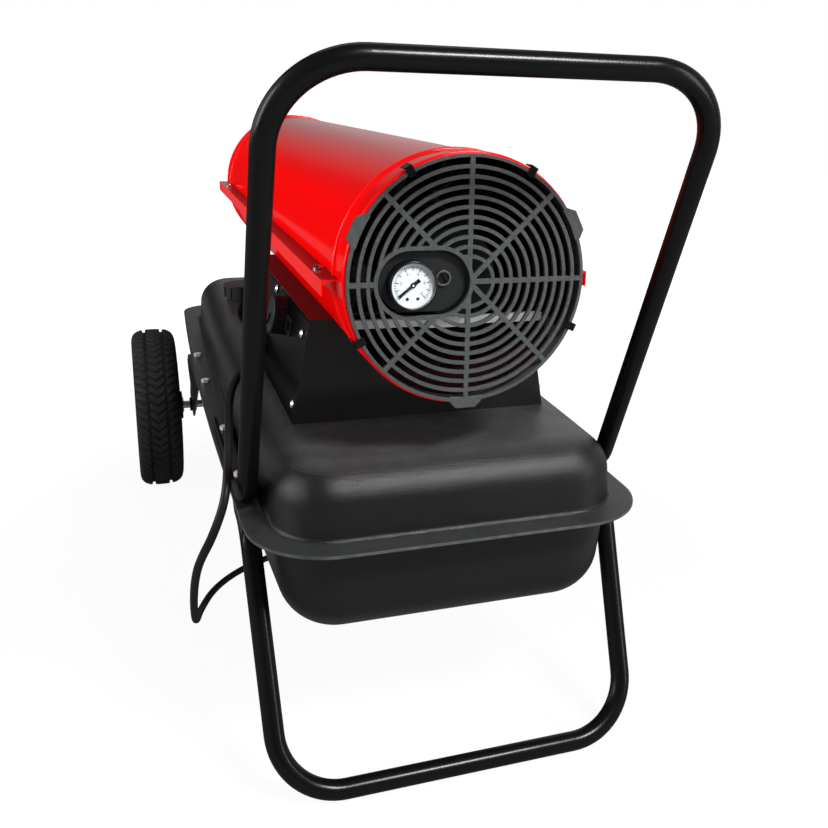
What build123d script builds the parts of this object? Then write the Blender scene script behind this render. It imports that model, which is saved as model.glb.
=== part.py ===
from build123d import *
import os
from math import acos, atan, atan2, cos, degrees, dist, pi, radians, sin, sqrt, tan

# A direct-fired diesel space heater on a wheeled fuel tank.  Lengths are millimetres, angles degrees.
# The pieces are placed with y = 0 on the face of the rear guard, x = 0 on the centre line and z = 0 on
# the floor; +Y runs along the air flow towards the outlet and +Z is up.  Writing a piece moves it along
# Y alone, so that the finished heater has its origin on the floor under the middle of its length.

# ---------------------------------------------------------------- clearances and common stock
fit_gap = 0.05            # round seats and running fits, on the radius
seat_gap = 0.3            # between curved faces that only lie against each other
run_gap = 0.5             # beside a moving face
sheet = 1.5               # tank and pedestal steel
m6_radius = 3.0
m6_hole = 3.3
m6_head_radius = 5.5
m6_head_height = 4.0
m5_radius = 2.5
m5_hole = 2.7
m5_head_radius = 4.75
m5_head_height = 3.2

# ---------------------------------------------------------------- tank
flange_half_rear = 191.0  # the long sides swell from here
flange_half_widest = 199.8
flange_half_front = 188.0
flange_widest_y = 420.0
flange_margin = 24.0      # how far the flange stands out of the drawn body at the sides and the rear
flange_front_margin = 55.0
tank_rear_y = -32.4
tank_front_y = 1000.0
flange_rear_corner = 77.0
flange_front_corner = 50.0
upper_height = 67.0
upper_draft = 4.0
upper_corner = 56.0
upper_edge = 38.0
lower_depth = 105.5
lower_draft = 5.0
lower_corner = 62.0
lower_edge = 52.0
axle_clearance = 11.5     # under the tank's bottom

# ---------------------------------------------------------------- tube frame
tube_radius = 9.55
tube_wall = 1.5
foot_height = 10.0
foot_width = 18.0
foot_roundness = 0.45     # of the pressed foot's corners, as a share of its height
foot_press = 16.0         # over this length the tube goes from round to flat
foot_end_y = 335.0
foot_x = 185.5
handle_base_y = 86.6
handle_top_y = -91.2
handle_height = 407.5     # from the seam of the tank to the middle of the bar
handle_half_top = 180.0
handle_corner = 70.0
leg_base_y = 78.5
leg_bottom_y = -30.0
leg_half_bottom = 176.5
leg_corner = 62.0
foot_bend = 34.0
foot_bolt_ys = (147.0, 289.0)

# ---------------------------------------------------------------- wheels
wheel_y = 804.6
wheel_radius = 127.0
wheel_x = 247.6
tyre_width = 67.0
tyre_bead_radius = 64.0
tyre_shoulder = 18.0
tread_groove_width = 4.0
tread_groove_depth = 4.5
tread_groove_x = 13.0
rim_width = 52.0
rim_wall = 3.0
hub_radius = 22.5
hub_inner_x = 208.0
hub_outer_x = 268.0
axle_radius = 6.0
axle_end_x = 280.0
washer_radius = 12.0
washer_thickness = 1.5
pin_radius = 1.6
pin_length = 26.0
pin_eye_radius = 4.0
bracket_plate = 3.0
bracket_lean = 4.0        # the plates draw in towards the axle
bracket_outer_x = 201.5
bracket_tab_x = 180.0
bracket_bolt_x = 189.0
bracket_bolt_ys = (513.0, 648.0)
bracket_rear_y = 497.0
bracket_nose = [(672.0, 0.0), (738.0, 26.5), (752.0, 45.5), (745.0, 68.5)]   # y and depth under the tab
bracket_eye_radius = 20.0
bracket_boss_radius = 11.0
bracket_boss_start_x = 186.0
bracket_boss_end_x = 196.0

# ---------------------------------------------------------------- casing
casing_rise = 163.0       # from the tank's top to the casing's axis
casing_radius = 108.5
casing_wall = 1.0
casing_rear_y = 4.0
casing_front_y = 912.0
hem_radius = 1.75
bead_radius = 2.2
bead_ys = (47.0, 866.0)
seam_width = 15.4
seam_rear_y = 25.0
seam_front_y = 905.0
seam_lip = 13.0
seam_screw_ys = (79.0, 452.0, 825.0)
seam_screw_out = 7.5      # from the shell to the screw

# ---------------------------------------------------------------- pedestal
pedestal_rear_y = 130.1
pedestal_front_y = 515.0
pedestal_half_base = 134.1
pedestal_half_top = 115.4
pedestal_height = 104.6
opening_margin = 30.0     # from the pedestal's ends to the openings behind the side covers
opening_ups = (16.0, 92.0)
end_screw_ups = (18.0, 88.0)
top_screw_up = 99.0
panel_screw_alongs = (10.0, 20.0)   # from the pedestal's end, for the lower and the upper screws

# ---------------------------------------------------------------- rear guard
guard_radius = 108.0
guard_rim = 2.8
guard_depth = 4.0
guard_skirt_depth = 15.0
guard_skirt_wall = 1.5
guard_ring_count = 10
guard_ring_first = 22.0
guard_ring_pitch = 8.4
guard_ring_width = 3.2
guard_ring_depth = 3.2
guard_spoke_count = 8
guard_spoke_width = 4.3
window_x = -40.0
window_height = 63.0
window_length = 88.8
window_frame = 3.5
guard_lug_angles = (27.0, 155.0, 270.0)
guard_lug_reach = 6.0
guard_lug_span = 7.8      # half angle of a lug at the rim
clip_angles = (60.0, 120.0, 207.0, 336.0)
clip_width = 7.0
clip_inset = 5.0
clip_reach = 4.5
clip_thickness = 1.0
clip_depth = 14.0

# ---------------------------------------------------------------- fan, motor and pump
shaft_radius = 5.0
shaft_rear_y = 40.0
shaft_front_y = 238.0
motor_radius = 50.0
motor_rear_y = 82.0
motor_front_y = 190.0
fan_radius = 98.0
fan_hub_radius = 19.0
fan_hub_rear_y = 205.0
fan_hub_length = 28.0
fan_blades = 5
fan_pitch = 32.0
fan_blade_width = 46.0
fan_blade_thickness = 1.5
pump_radius = 40.0
pump_rear_y = 46.0
pump_length = 32.0
pump_chamber_radius = 28.0
pump_chamber_length = 15.0
pump_rotor_radius = 26.5
vane_slot_depth = 9.0
vane_slot_width = 3.0
pump_plate = 5.0
cover_rear_y = 7.0
cover_plate = 5.0
cover_neck_radius = 22.0
bar_drop = 47.0           # from the casing's axis down to the bar
bar_y = 60.0
bar_height = 8.0
bar_depth = 5.0
strap_y = 120.0
strap_width = 26.0
strap_thickness = 2.0
shelf_width = 52.0
motor_slots = 12
motor_slot_width = 3.0
motor_slot_depth = 3.0
motor_slot_length = 40.0
motor_edge = 6.0
motor_spigot_radius = 18.0

# ---------------------------------------------------------------- pressure gauge and adjusting screw
gauge_x = -51.0
gauge_drop = 1.0          # below the casing's axis
gauge_radius = 21.3
gauge_front_y = -6.0
gauge_bezel = 2.0
gauge_wall = 1.5
gauge_floor = 6.0
gauge_stem_radius = 6.0
dial_drop = 5.0           # from the rim of the case to the dial
dial_radius = 17.5
needle_rest = -52.0       # from hanging straight down round to the foot of the scale, lower left
screw_x = -22.0
screw_rise = 3.0          # above the casing's axis
screw_boss_radius = 7.0
screw_boss_length = 15.0
screw_radius = 5.0
screw_length = 12.0

# ---------------------------------------------------------------- burner and chamber
chamber_radius = 78.0
chamber_wall = 1.2
chamber_rear_y = 300.0
chamber_front_y = 868.0
chamber_hole = 33.0
burner_radius = 46.0
burner_plate = 2.0
nozzle_radius = 9.0
nozzle_length = 34.0
adapter_size = 22.0
electrode_radius = 2.5
electrode_length = 40.0
electrode_tip_radius = 1.0
electrode_tip_length = 8.0
electrode_rise = 15.0
photocell_radius = 6.0
photocell_length = 22.0
photocell_tail_radius = 3.0
photocell_tail_length = 8.0
photocell_x = 58.0
photocell_rise = 18.0
cone_rear_y = 872.0
cone_front_y = 906.0
cone_mouth_radius = 88.0
tab_thickness = 2.0

# ---------------------------------------------------------------- filler, cap and level gauge
filler_x = -112.0
filler_y = 722.0
neck_radius = 21.0
neck_wall = 1.5
neck_height = 21.0
neck_drop = 14.0
neck_flange_width = 4.0
cap_radius = 29.0
cap_height = 19.0
cap_lift = 7.0            # from the tank's top to the cap's lower edge
cap_wall = 3.0
cap_slots = 11
cap_slot_width = 4.5
cap_slot_depth = 2.0
strainer_depth = 60.0
level_x = -119.4
level_y = 536.5
level_rise = 22.0         # from the tank's top to the middle of the dial
level_tilt = 60.0         # the dial looks up and backwards
level_radius = 21.5
level_depth = 12.0
level_back_radius = 14.0
level_stem_y = 546.9
level_stem_radius = 9.0
level_foot_radius = 15.0
level_recess = 4.5
level_wall = 2.0
level_rest = 135.0        # the needle points to the upper left over an empty tank
lens_thickness = 1.5
float_pivot_drop = 34.0
float_post = 8.0
float_pivot_radius = 2.0
float_pivot_length = 7.0
float_arm = 135.0
float_arm_width = 2.5
float_arm_gap = 1.5       # between the post and the arm
float_eye_radius = 4.5
float_rest = 52.0         # the arm hangs this far below level in an empty tank
float_radius = 13.0
float_length = 26.0
drain_y = 860.0
drain_radius = 8.0
drain_head_radius = 11.0
drain_head_height = 6.0
drain_collar_width = 4.0
drain_collar_height = 2.0
drain_depth = 10.0

# ---------------------------------------------------------------- controls
knob_along = 127.0        # from the pedestal's rear face
knob_up = 82.0
knob_radius = 21.0
knob_height = 15.0
knob_flutes = 20
switch_along = 90.0
switch_up = 80.0
switch_length = 28.0
switch_height = 18.0
switch_depth = 18.0
rocker_length = 19.0
rocker_width = 10.0
rocker_pivot = 1.5
rocker_drop = 2.5         # pivot below the panel's face
rocker_tilt = 9.0
board_along = 158.0
board_length = 90.0
board_height = 66.0
board_standoff = 8.0
potentiometer_radius = 8.0

# ---------------------------------------------------------------- hoses
hose_radius = 4.0
hose_bore = 2.5
hose_bend = 20.0
air_hose_x = 31.0
air_port_y = 70.0
air_drop_y = 150.0
air_run_drop = 78.0       # from the casing's axis, between the motor and the casing's bottom
air_port_drop = 14.0
fuel_hose_x = -31.0
pickup_y = 330.0
pickup_gap = 7.5          # over the tank's bottom
pickup_radius = 9.0
pickup_height = 16.0
hose_run_rise = 33.0      # from the tank's top to the run of both hoses through the pedestal

# ---------------------------------------------------------------- ignition transformer
transformer_y = 386.0
transformer_width = 66.0
transformer_length = 68.0
transformer_height = 42.0
transformer_corner = 4.0
transformer_foot_width = 84.0
transformer_foot_length = 60.0
transformer_foot_height = 2.0
terminal_x = 16.0
terminal_rise = 26.0
terminal_radius = 5.0
terminal_length = 12.0

# ---------------------------------------------------------------- power cord
cord_radius = 4.25
relief_along = 216.6
relief_up = 29.6
cord_first_bend = (-166.5, 299.0, 323.0)
relief_length = 26.0
relief_radius = 8.5
coil_x = 0.0
coil_y = 540.0
coil_radius = 54.0
coil_pitch = 9.4          # both across a layer and from layer to layer
coil_tail = 40.0
plug_radius = 18.5
plug_body = 32.0
plug_boot = 28.0
plug_neck_radius = 8.5
plug_pin_radius = 2.4
plug_pin_length = 19.0
plug_pin_spacing = 19.0

# ---------------------------------------------------------------- places worked out from the sizes above
origin_y = -(tank_front_y + handle_top_y - tube_radius) / 2
wheel_z = wheel_radius
tank_bottom_z = wheel_z + axle_radius + axle_clearance
flange_z = tank_bottom_z + lower_depth    # the seam between the two tank halves
tank_top_z = flange_z + upper_height
pedestal_top_z = tank_top_z + pedestal_height
casing_z = tank_top_z + casing_rise
handle_top_z = flange_z + handle_height
bar_z = casing_z - bar_drop
gauge_z = casing_z - gauge_drop
screw_z = casing_z + screw_rise
level_z = tank_top_z + level_rise
air_run_z = casing_z - air_run_drop
hose_run_z = tank_top_z + hose_run_rise
pickup_z = tank_bottom_z + pickup_gap
lean = degrees(atan((pedestal_half_base - pedestal_half_top) / pedestal_height))
flange_top_z = flange_z + sheet
flange_bottom_z = flange_z - sheet
foot_axis_z = flange_top_z + tube_radius
inner_radius = casing_radius - casing_wall
head_y = chamber_rear_y - burner_plate
nozzle_rear_y = head_y - nozzle_length + 8
adapter_y = nozzle_rear_y + 12
LOW = (Align.CENTER, Align.CENTER, Align.MIN)

os.makedirs("parts", exist_ok=True)


def write(name, *shapes):
    """One file for one sub-part, moved so that the origin is under the heater's middle."""
    solids = [solid for shape in shapes for solid in (Pos(0, origin_y, 0) * shape).solids()]
    export_step(solids[0] if len(solids) == 1 else Compound(solids), f"parts/{name}.step")


def disc(radius, length):
    return Cylinder(radius, length, align=LOW)


def tube(outer, inner, length):
    return disc(outer, length) - disc(inner, length)


def along_y(shape, x, y, z):
    """A shape built along +Z, laid along +Y from (x, y, z)."""
    return Pos(x, y, z) * Rot(-90, 0, 0) * shape


def along_x(shape, x, y, z):
    """A shape built along +Z, laid along +X from (x, y, z)."""
    return Pos(x, y, z) * Rot(0, 90, 0) * shape


def block(x0, x1, y0, y1, z0, z1):
    return Pos((x0 + x1) / 2, (y0 + y1) / 2, (z0 + z1) / 2) * Box(x1 - x0, y1 - y0, z1 - z0)


def turned(profile):
    """A solid of revolution about +Z from (radius, height) points."""
    return revolve(Plane.XZ * make_face(Polyline(*profile, close=True)), Axis.Z)


def hex_bolt(radius, head_radius, head_height, length):
    """A bolt hanging down from z = 0, with its hexagonal head above."""
    head = extrude(RegularPolygon(head_radius, 6), amount=head_height)
    return head + Pos(0, 0, -length) * disc(radius, length)


def pan_screw(radius, head_radius, head_height, length):
    """A screw hanging down from z = 0, with a low domed head and a cross slot."""
    head = turned([(0, 0), (head_radius, 0), (head_radius, 0.5 * head_height),
                   (0.6 * head_radius, head_height), (0, head_height)])
    slot = Box(1.2 * head_radius, 1.0, head_height, align=(Align.CENTER, Align.CENTER, Align.MIN))
    cross = Pos(0, 0, 0.6 * head_height) * (slot + Rot(0, 0, 90) * slot)
    return head - cross + Pos(0, 0, -length) * disc(radius, length)


# ================================================================ fuel tank
def tank_outline(margin, front_margin, rear_corner, front_corner):
    """The tank's plan, drawn in by its margins: straight ends, long sides that bow out, round corners."""
    rear = tank_rear_y + margin
    front = tank_front_y - front_margin
    rear_half = flange_half_rear - margin
    widest_half = flange_half_widest - margin
    front_half = flange_half_front - margin
    outline = (
        Line((-rear_half, rear), (rear_half, rear))
        + ThreePointArc((rear_half, rear), (widest_half, flange_widest_y), (front_half, front))
        + Line((front_half, front), (-front_half, front))
        + ThreePointArc((-front_half, front), (-widest_half, flange_widest_y), (-rear_half, rear))
    )
    face = make_face(outline)
    corners = face.vertices().sort_by(Axis.Y)
    face = fillet(corners[:2], rear_corner)
    corners = face.vertices().sort_by(Axis.Y)
    return fillet(corners[-2:], front_corner)


def drawn_body(wall, height, draft, corner, edge):
    """The pressed body of one half, a wall inside its outer skin, standing on z = 0 with a round edge."""
    plan = tank_outline(flange_margin + wall, flange_front_margin + wall, corner, corner)
    body = extrude(plan, amount=height, taper=draft)
    return fillet(body.faces().sort_by(Axis.Z)[-1].edges(), edge)


def tank_half(height, draft, corner, edge):
    """One pressed half standing on the seam plane: flange, drawn body and hollow."""
    flange = extrude(tank_outline(0, 0, flange_rear_corner, flange_front_corner), amount=sheet)
    body = drawn_body(0, height, draft, corner, edge)
    hollow = drawn_body(sheet, height - sheet, draft, corner - sheet, edge - sheet)
    return flange + body - hollow


flange_bolts = [(side * foot_x, y) for side in (-1, 1) for y in foot_bolt_ys]
bracket_bolts = [(side * bracket_bolt_x, y) for side in (-1, 1) for y in bracket_bolt_ys]
flange_holes = [Pos(x, y, -sheet) * disc(m6_hole, 2 * sheet) for x, y in flange_bolts + bracket_bolts]

upper_half = tank_half(upper_height, upper_draft, upper_corner, upper_edge)
upper_half -= flange_holes
upper_half -= Pos(filler_x, filler_y, upper_height - 2 * sheet) * disc(neck_radius + seat_gap, 4 * sheet)
upper_half -= Pos(level_x, level_stem_y, upper_height - 2 * sheet) * disc(level_stem_radius, 4 * sheet)
upper_half -= Pos(fuel_hose_x, pickup_y, upper_height - 2 * sheet) * disc(hose_radius + fit_gap, 4 * sheet)
write("tank_upper_half", Pos(0, 0, flange_z) * upper_half)

lower_half = tank_half(lower_depth, lower_draft, lower_corner, lower_edge)
lower_half -= flange_holes
lower_half -= Pos(0, drain_y, lower_depth - 2 * sheet) * disc(drain_radius + fit_gap, 4 * sheet)
write("tank_lower_half", Pos(0, 0, flange_z) * mirror(lower_half, about=Plane.XY))

drain_plug = extrude(RegularPolygon(drain_head_radius, 6), amount=-drain_head_height)
drain_plug += Pos(0, 0, -drain_collar_height) * disc(drain_radius + drain_collar_width, drain_collar_height)
drain_plug += disc(drain_radius, drain_depth)
write("drain_plug", Pos(0, drain_y, tank_bottom_z) * drain_plug)

neck = tube(neck_radius, neck_radius - neck_wall, neck_height + neck_drop)
neck += Pos(0, 0, neck_drop) * tube(neck_radius + neck_flange_width, neck_radius - neck_wall, neck_wall)
write("filler_neck", Pos(filler_x, filler_y, tank_top_z - neck_drop) * neck)

strainer_radius = neck_radius - neck_wall - fit_gap
strainer = tube(strainer_radius, strainer_radius - 1, strainer_depth) + disc(strainer_radius, 1)
window = Box(3 * strainer_radius, 5, 8)
for row in range(4):
    for turn in range(4):
        strainer -= Pos(0, 0, 10 + 11 * row) * Rot(0, 0, 45 * turn) * window
strainer += Pos(0, 0, strainer_depth) * tube(neck_radius, strainer_radius - 1, 1)
write("filler_strainer", Pos(filler_x, filler_y, tank_top_z + neck_height - strainer_depth) * strainer)

cap = disc(cap_radius, cap_height) - disc(neck_radius + cap_wall + run_gap, cap_height - cap_wall)
cap = fillet(cap.edges().filter_by(GeomType.CIRCLE).group_by(Axis.Z)[-1], 2)
cap_slot = Pos(cap_radius, 0, 0) * Box(2 * cap_slot_depth, cap_slot_width, cap_height - cap_wall, align=LOW)
for turn in range(cap_slots):
    cap -= Rot(0, 0, turn * 360 / cap_slots) * cap_slot
write("fuel_cap", Pos(filler_x, filler_y, tank_top_z + cap_lift) * cap)

# ---------------------------------------------------------------- level gauge with its float
pivot_z = tank_top_z - float_pivot_drop
level_seat = Pos(level_x, level_y, level_z) * Rot(level_tilt, 0, 0)
level_head = turned([(0, -level_depth), (level_back_radius, -level_depth), (level_radius, -level_recess - 1),
                     (level_radius, 0), (0, 0)])
stem_height = level_z - tank_top_z
level_stem = Pos(0, 0, -2) * disc(level_stem_radius - seat_gap, stem_height + 2) + disc(level_foot_radius, 2)
post_length = float_pivot_drop + float_eye_radius
level_stem += Pos(0, 0, -post_length) * Box(float_post, float_post, post_length, align=LOW)
level_stem += along_x(disc(float_pivot_radius, float_pivot_length), float_post / 2, 0, -float_pivot_drop)
level = level_seat * level_head + Pos(level_x, level_stem_y, tank_top_z) * level_stem
level -= level_seat * Pos(0, 0, -level_recess) * disc(level_radius - level_wall, 2 * level_recess)
level += level_seat * Pos(0, 0, -level_recess - 1) * disc(1.5, 3.6)
write("level_gauge_body", level)

lens = disc(level_radius - level_wall - fit_gap, lens_thickness)
write("level_gauge_lens", level_seat * Pos(0, 0, -lens_thickness) * lens)

pointer = tube(5, 1.5 + fit_gap, 1.2)
pointer += block(4, level_radius - 5, -0.9, 0.9, 0, 1.2)
write("level_gauge_needle", level_seat * Pos(0, 0, -level_recess + 0.8) * Rot(0, 0, level_rest) * pointer)

arm_x = float_post / 2 + float_arm_gap
arm_half = float_arm_width / 2
arm = along_x(tube(float_eye_radius, float_pivot_radius + fit_gap, float_arm_width), arm_x, 0, 0)
arm += block(arm_x, arm_x + float_arm_width, 2 * float_eye_radius / 3, float_arm, -arm_half, arm_half)
arm += along_x(disc(float_radius, float_length), arm_x + arm_half - float_length / 2, float_arm, 0)
arm = Rot(-float_rest, 0, 0) * arm
write("fuel_float", Pos(level_x, level_stem_y, pivot_z) * arm)


# ================================================================ tube frame
def loop(base_y, tip_y, rise, half_tip, corner, radius, shorten):
    """A U of round tube: feet along the flange, legs up to the cross bar.  Built upwards from z = 0."""
    foot_start = base_y + foot_bend + shorten
    points = [(-foot_x, foot_start, 0), (-foot_x, base_y, 0), (-half_tip, tip_y, rise),
              (half_tip, tip_y, rise), (foot_x, base_y, 0), (foot_x, foot_start, 0)]
    path = FilletPolyline(*points, radius=(foot_bend, corner, corner, foot_bend))
    start = Plane(origin=points[0], z_dir=(0, -1, 0))
    return sweep(start * Circle(radius), path=path, is_frenet=False)


def foot(side, start_y):
    """The pressed end of a leg: round where it leaves the bend, flattened along the flange."""
    drop = foot_height / 2 - tube_radius
    round_end = Plane(origin=(side * foot_x, start_y, 0), z_dir=(0, 1, 0)) * Circle(tube_radius)
    flat_plane = Plane(origin=(side * foot_x, start_y + foot_press, drop), x_dir=(1, 0, 0), z_dir=(0, 1, 0))
    flat_end = flat_plane * RectangleRounded(foot_width, foot_height, foot_roundness * foot_height)
    flat = extrude(flat_end, amount=foot_end_y - start_y - foot_press)
    return loft([round_end, flat_end]) + flat


def frame_tube(base_y, tip_y, rise, half_tip, corner):
    """A complete loop with pressed and drilled feet, built upwards with the tube's axis on z = 0."""
    shorten = 2.0
    start_y = base_y + foot_bend + shorten
    bar = loop(base_y, tip_y, rise, half_tip, corner, tube_radius, shorten)
    bore = loop(base_y, tip_y, rise, half_tip, corner, tube_radius - tube_wall, shorten)
    bar -= bore
    for side in (-1, 1):
        bar += foot(side, start_y)
        for y in foot_bolt_ys:
            bar -= Pos(side * foot_x, y, -tube_radius) * disc(m6_hole, 2 * tube_radius)
    return bar


handle_rise = handle_top_z - foot_axis_z
handle = frame_tube(handle_base_y, handle_top_y, handle_rise, handle_half_top, handle_corner)
write("rear_handle", Pos(0, 0, foot_axis_z) * handle)

leg_axis_z = 2 * flange_z - foot_axis_z
leg_rise = leg_axis_z - tube_radius
leg = frame_tube(leg_base_y, leg_bottom_y, leg_rise, leg_half_bottom, leg_corner)
write("rear_leg", Pos(0, 0, leg_axis_z) * mirror(leg, about=Plane.XY))

foot_top_z = flange_top_z + foot_height
foot_bottom_z = flange_bottom_z - foot_height
bolt = hex_bolt(m6_radius, m6_head_radius, m6_head_height, foot_top_z - foot_bottom_z + 9)
bracket_tab_z = flange_bottom_z - bracket_plate
short_bolt = hex_bolt(m6_radius, m6_head_radius, m6_head_height, flange_top_z - bracket_tab_z + 9)
nut = extrude(RegularPolygon(m6_head_radius, 6), amount=-5) - Pos(0, 0, -5) * disc(m6_radius + fit_gap, 5)
write("frame_bolts", *[Pos(x, y, foot_top_z) * bolt for x, y in flange_bolts],
      *[Pos(x, y, flange_top_z) * short_bolt for x, y in bracket_bolts])
write("frame_nuts", *[Pos(x, y, foot_bottom_z) * nut for x, y in flange_bolts],
      *[Pos(x, y, bracket_tab_z) * nut for x, y in bracket_bolts])


# ================================================================ wheels and axle
def touching(point, centre, radius, side):
    """Where the line from a point touches a circle, on one side of it or the other."""
    towards = atan2(point[1] - centre[1], point[0] - centre[0])
    turn = towards + side * acos(radius / dist(point, centre))
    return centre[0] + radius * cos(turn), centre[1] + radius * sin(turn)


def bracket():
    """The left wheel bracket: a tab bolted under the flange and a leaning plate down to the axle."""
    slope = cos(radians(bracket_lean))
    eye = (wheel_y, (flange_bottom_z - wheel_z) / slope)
    heel = (bracket_rear_y, 0.0)
    outline = [heel, *bracket_nose, touching(bracket_nose[-1], eye, bracket_eye_radius, 1),
               touching(heel, eye, bracket_eye_radius, -1)]
    face = make_face(Polyline(*outline, close=True)) + Pos(*eye) * Circle(bracket_eye_radius)
    seat = Plane(origin=(-bracket_outer_x, 0, flange_bottom_z), x_dir=(0, 1, 0),
                 z_dir=(-slope, 0, -sin(radians(bracket_lean))))
    body = extrude(seat * face, amount=-bracket_plate)
    body -= block(-bracket_outer_x, -bracket_tab_x, 0, tank_front_y, flange_bottom_z, flange_top_z)
    body += block(-bracket_outer_x, -bracket_tab_x, bracket_rear_y, bracket_nose[0][0],
                  bracket_tab_z, flange_bottom_z)
    boss = disc(bracket_boss_radius, bracket_boss_end_x - bracket_boss_start_x)
    body += along_x(boss, -bracket_boss_end_x, wheel_y, wheel_z)
    body -= along_x(disc(axle_radius + fit_gap, bracket_outer_x), -1.5 * bracket_outer_x, wheel_y, wheel_z)
    for y in bracket_bolt_ys:
        body -= Pos(-bracket_bolt_x, y, bracket_tab_z - bracket_plate) * disc(m6_hole, 3 * bracket_plate)
    return body


left_bracket = bracket()
write("wheel_bracket_left", left_bracket)
write("wheel_bracket_right", mirror(left_bracket, about=Plane.YZ))

axle = along_x(disc(axle_radius, 2 * axle_end_x), -axle_end_x, wheel_y, wheel_z)
pin_x = hub_outer_x + washer_thickness + 2 * run_gap + pin_radius
for side in (-1, 1):
    axle -= Pos(side * pin_x, wheel_y, wheel_z) * Cylinder(pin_radius + fit_gap, 4 * axle_radius)
write("axle", axle)


def tyre():
    """A solid tyre built along +X about the origin: crowned tread with two grooves, round shoulders."""
    half = tyre_width / 2
    bead = tyre_bead_radius
    bead_half = rim_width / 2 - 2
    section = [(-bead_half, bead), (-half + 3, bead + 16), (-half, wheel_radius - 30), (-half, wheel_radius),
               (half, wheel_radius), (half, wheel_radius - 30), (half - 3, bead + 16), (bead_half, bead)]
    face = make_face(Polyline(*section, close=True))
    tops = face.vertices().sort_by(Axis.Y)[-2:]
    face = fillet(tops, tyre_shoulder)
    solid = revolve(face, Axis.X)
    left, right = (-half, wheel_radius - 3), (half, wheel_radius - 3)
    crown = ThreePointArc(left, (0, wheel_radius), right) + Polyline(right, (half, 0), (-half, 0), left)
    solid &= revolve(make_face(crown), Axis.X)
    for side in (-1, 1):
        groove = tube(wheel_radius + 1, wheel_radius - tread_groove_depth, tread_groove_width)
        solid -= along_x(groove, side * tread_groove_x - tread_groove_width / 2, 0, 0)
    return solid


def rim():
    """A moulded rim and hub along +X, inner end first: bead seats, dished disc and bored hub."""
    half = rim_width / 2
    seat = tyre_bead_radius - seat_gap
    barrel = tube(seat, seat - rim_wall, rim_width - 4)
    solid = along_x(barrel, -half + 2, 0, 0)
    hub_inner = hub_inner_x - wheel_x
    hub_outer = hub_outer_x - wheel_x
    solid += along_x(disc(hub_radius, hub_outer - hub_inner), hub_inner, 0, 0)
    solid += along_x(tube(seat - 1, hub_radius - 1, 5), -2.5, 0, 0)
    for turn in range(5):
        solid += Rot(turn * 72, 0, 0) * block(-half + 8, half - 8, -3, 3, hub_radius - 1, seat - 1)
    return solid - along_x(disc(axle_radius + fit_gap, 2 * wheel_x), -wheel_x, 0, 0)


tyre_solid = tyre()
rim_solid = rim()
place = Pos(wheel_x, wheel_y, wheel_z)
for name, solid in (("tyre", tyre_solid), ("wheel_rim", rim_solid)):
    write(f"{name}_right", place * solid)
    write(f"{name}_left", mirror(place * solid, about=Plane.YZ))

washer = tube(washer_radius, axle_radius + fit_gap, washer_thickness)
washer_starts = (hub_inner_x - run_gap - washer_thickness, hub_outer_x + run_gap)
washers = [along_x(washer, x, wheel_y, wheel_z) for x in washer_starts]
write("axle_washers", *washers, *[mirror(w, about=Plane.YZ) for w in washers])

pin = Pos(pin_x, wheel_y, wheel_z) * Cylinder(pin_radius, pin_length)
pin_eye_z = wheel_z + (pin_length + 1.5 * pin_eye_radius) / 2
pin_eye = Pos(pin_x, wheel_y, pin_eye_z) * Rot(0, 90, 0) * Torus(pin_eye_radius, pin_radius)
cotter = pin + pin_eye
write("cotter_pins", cotter, mirror(cotter, about=Plane.YZ))


# ================================================================ casing
def shell_ring(radius, y):
    """A round bead that runs round the casing."""
    return along_y(Torus(casing_radius, radius), 0, y, casing_z)


casing_length = casing_front_y - casing_rear_y
whole = along_y(disc(casing_radius, casing_length), 0, casing_rear_y, casing_z)
for y in bead_ys:
    whole += shell_ring(bead_radius, y)
for y in (casing_rear_y + hem_radius, casing_front_y - hem_radius):
    whole += shell_ring(hem_radius, y)
whole -= along_y(disc(inner_radius, casing_length + 2), 0, casing_rear_y - 1, casing_z)
seam_x = casing_radius + seam_width
above = block(-seam_x, seam_x, 0, casing_front_y + hem_radius, casing_z, casing_z + seam_x)
below = block(-seam_x, seam_x, 0, casing_front_y + hem_radius, casing_z - seam_x, casing_z)
seam_screws = [(side * (casing_radius + seam_screw_out), y) for side in (-1, 1) for y in seam_screw_ys]
screw_holes = [Pos(x, y, casing_z - 5) * disc(m5_hole, 10) for x, y in seam_screws]

upper = whole & above
for side in (-1, 1):
    low, high = sorted((side * (casing_radius - casing_wall), side * seam_x))
    upper += block(low, high, seam_rear_y, seam_front_y, casing_z, casing_z + casing_wall)
upper -= screw_holes
write("upper_casing", upper)

lower = whole & below
for side in (-1, 1):
    low, high = sorted((side * (casing_radius - casing_wall), side * seam_x))
    lower += block(low, high, seam_rear_y, seam_front_y, casing_z - casing_wall, casing_z)
    low, high = sorted((side * (seam_x - casing_wall), side * seam_x))
    lower += block(low, high, seam_rear_y, seam_front_y, casing_z - seam_lip, casing_z)
lower -= screw_holes
hose_holes = [(air_hose_x, air_drop_y), (air_hose_x, adapter_y), (fuel_hose_x, adapter_y)]
for x, y in hose_holes:
    lower -= Pos(x, y, casing_z - casing_radius - 10) * disc(hose_radius + 1, 40)
write("lower_casing", lower)


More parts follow.
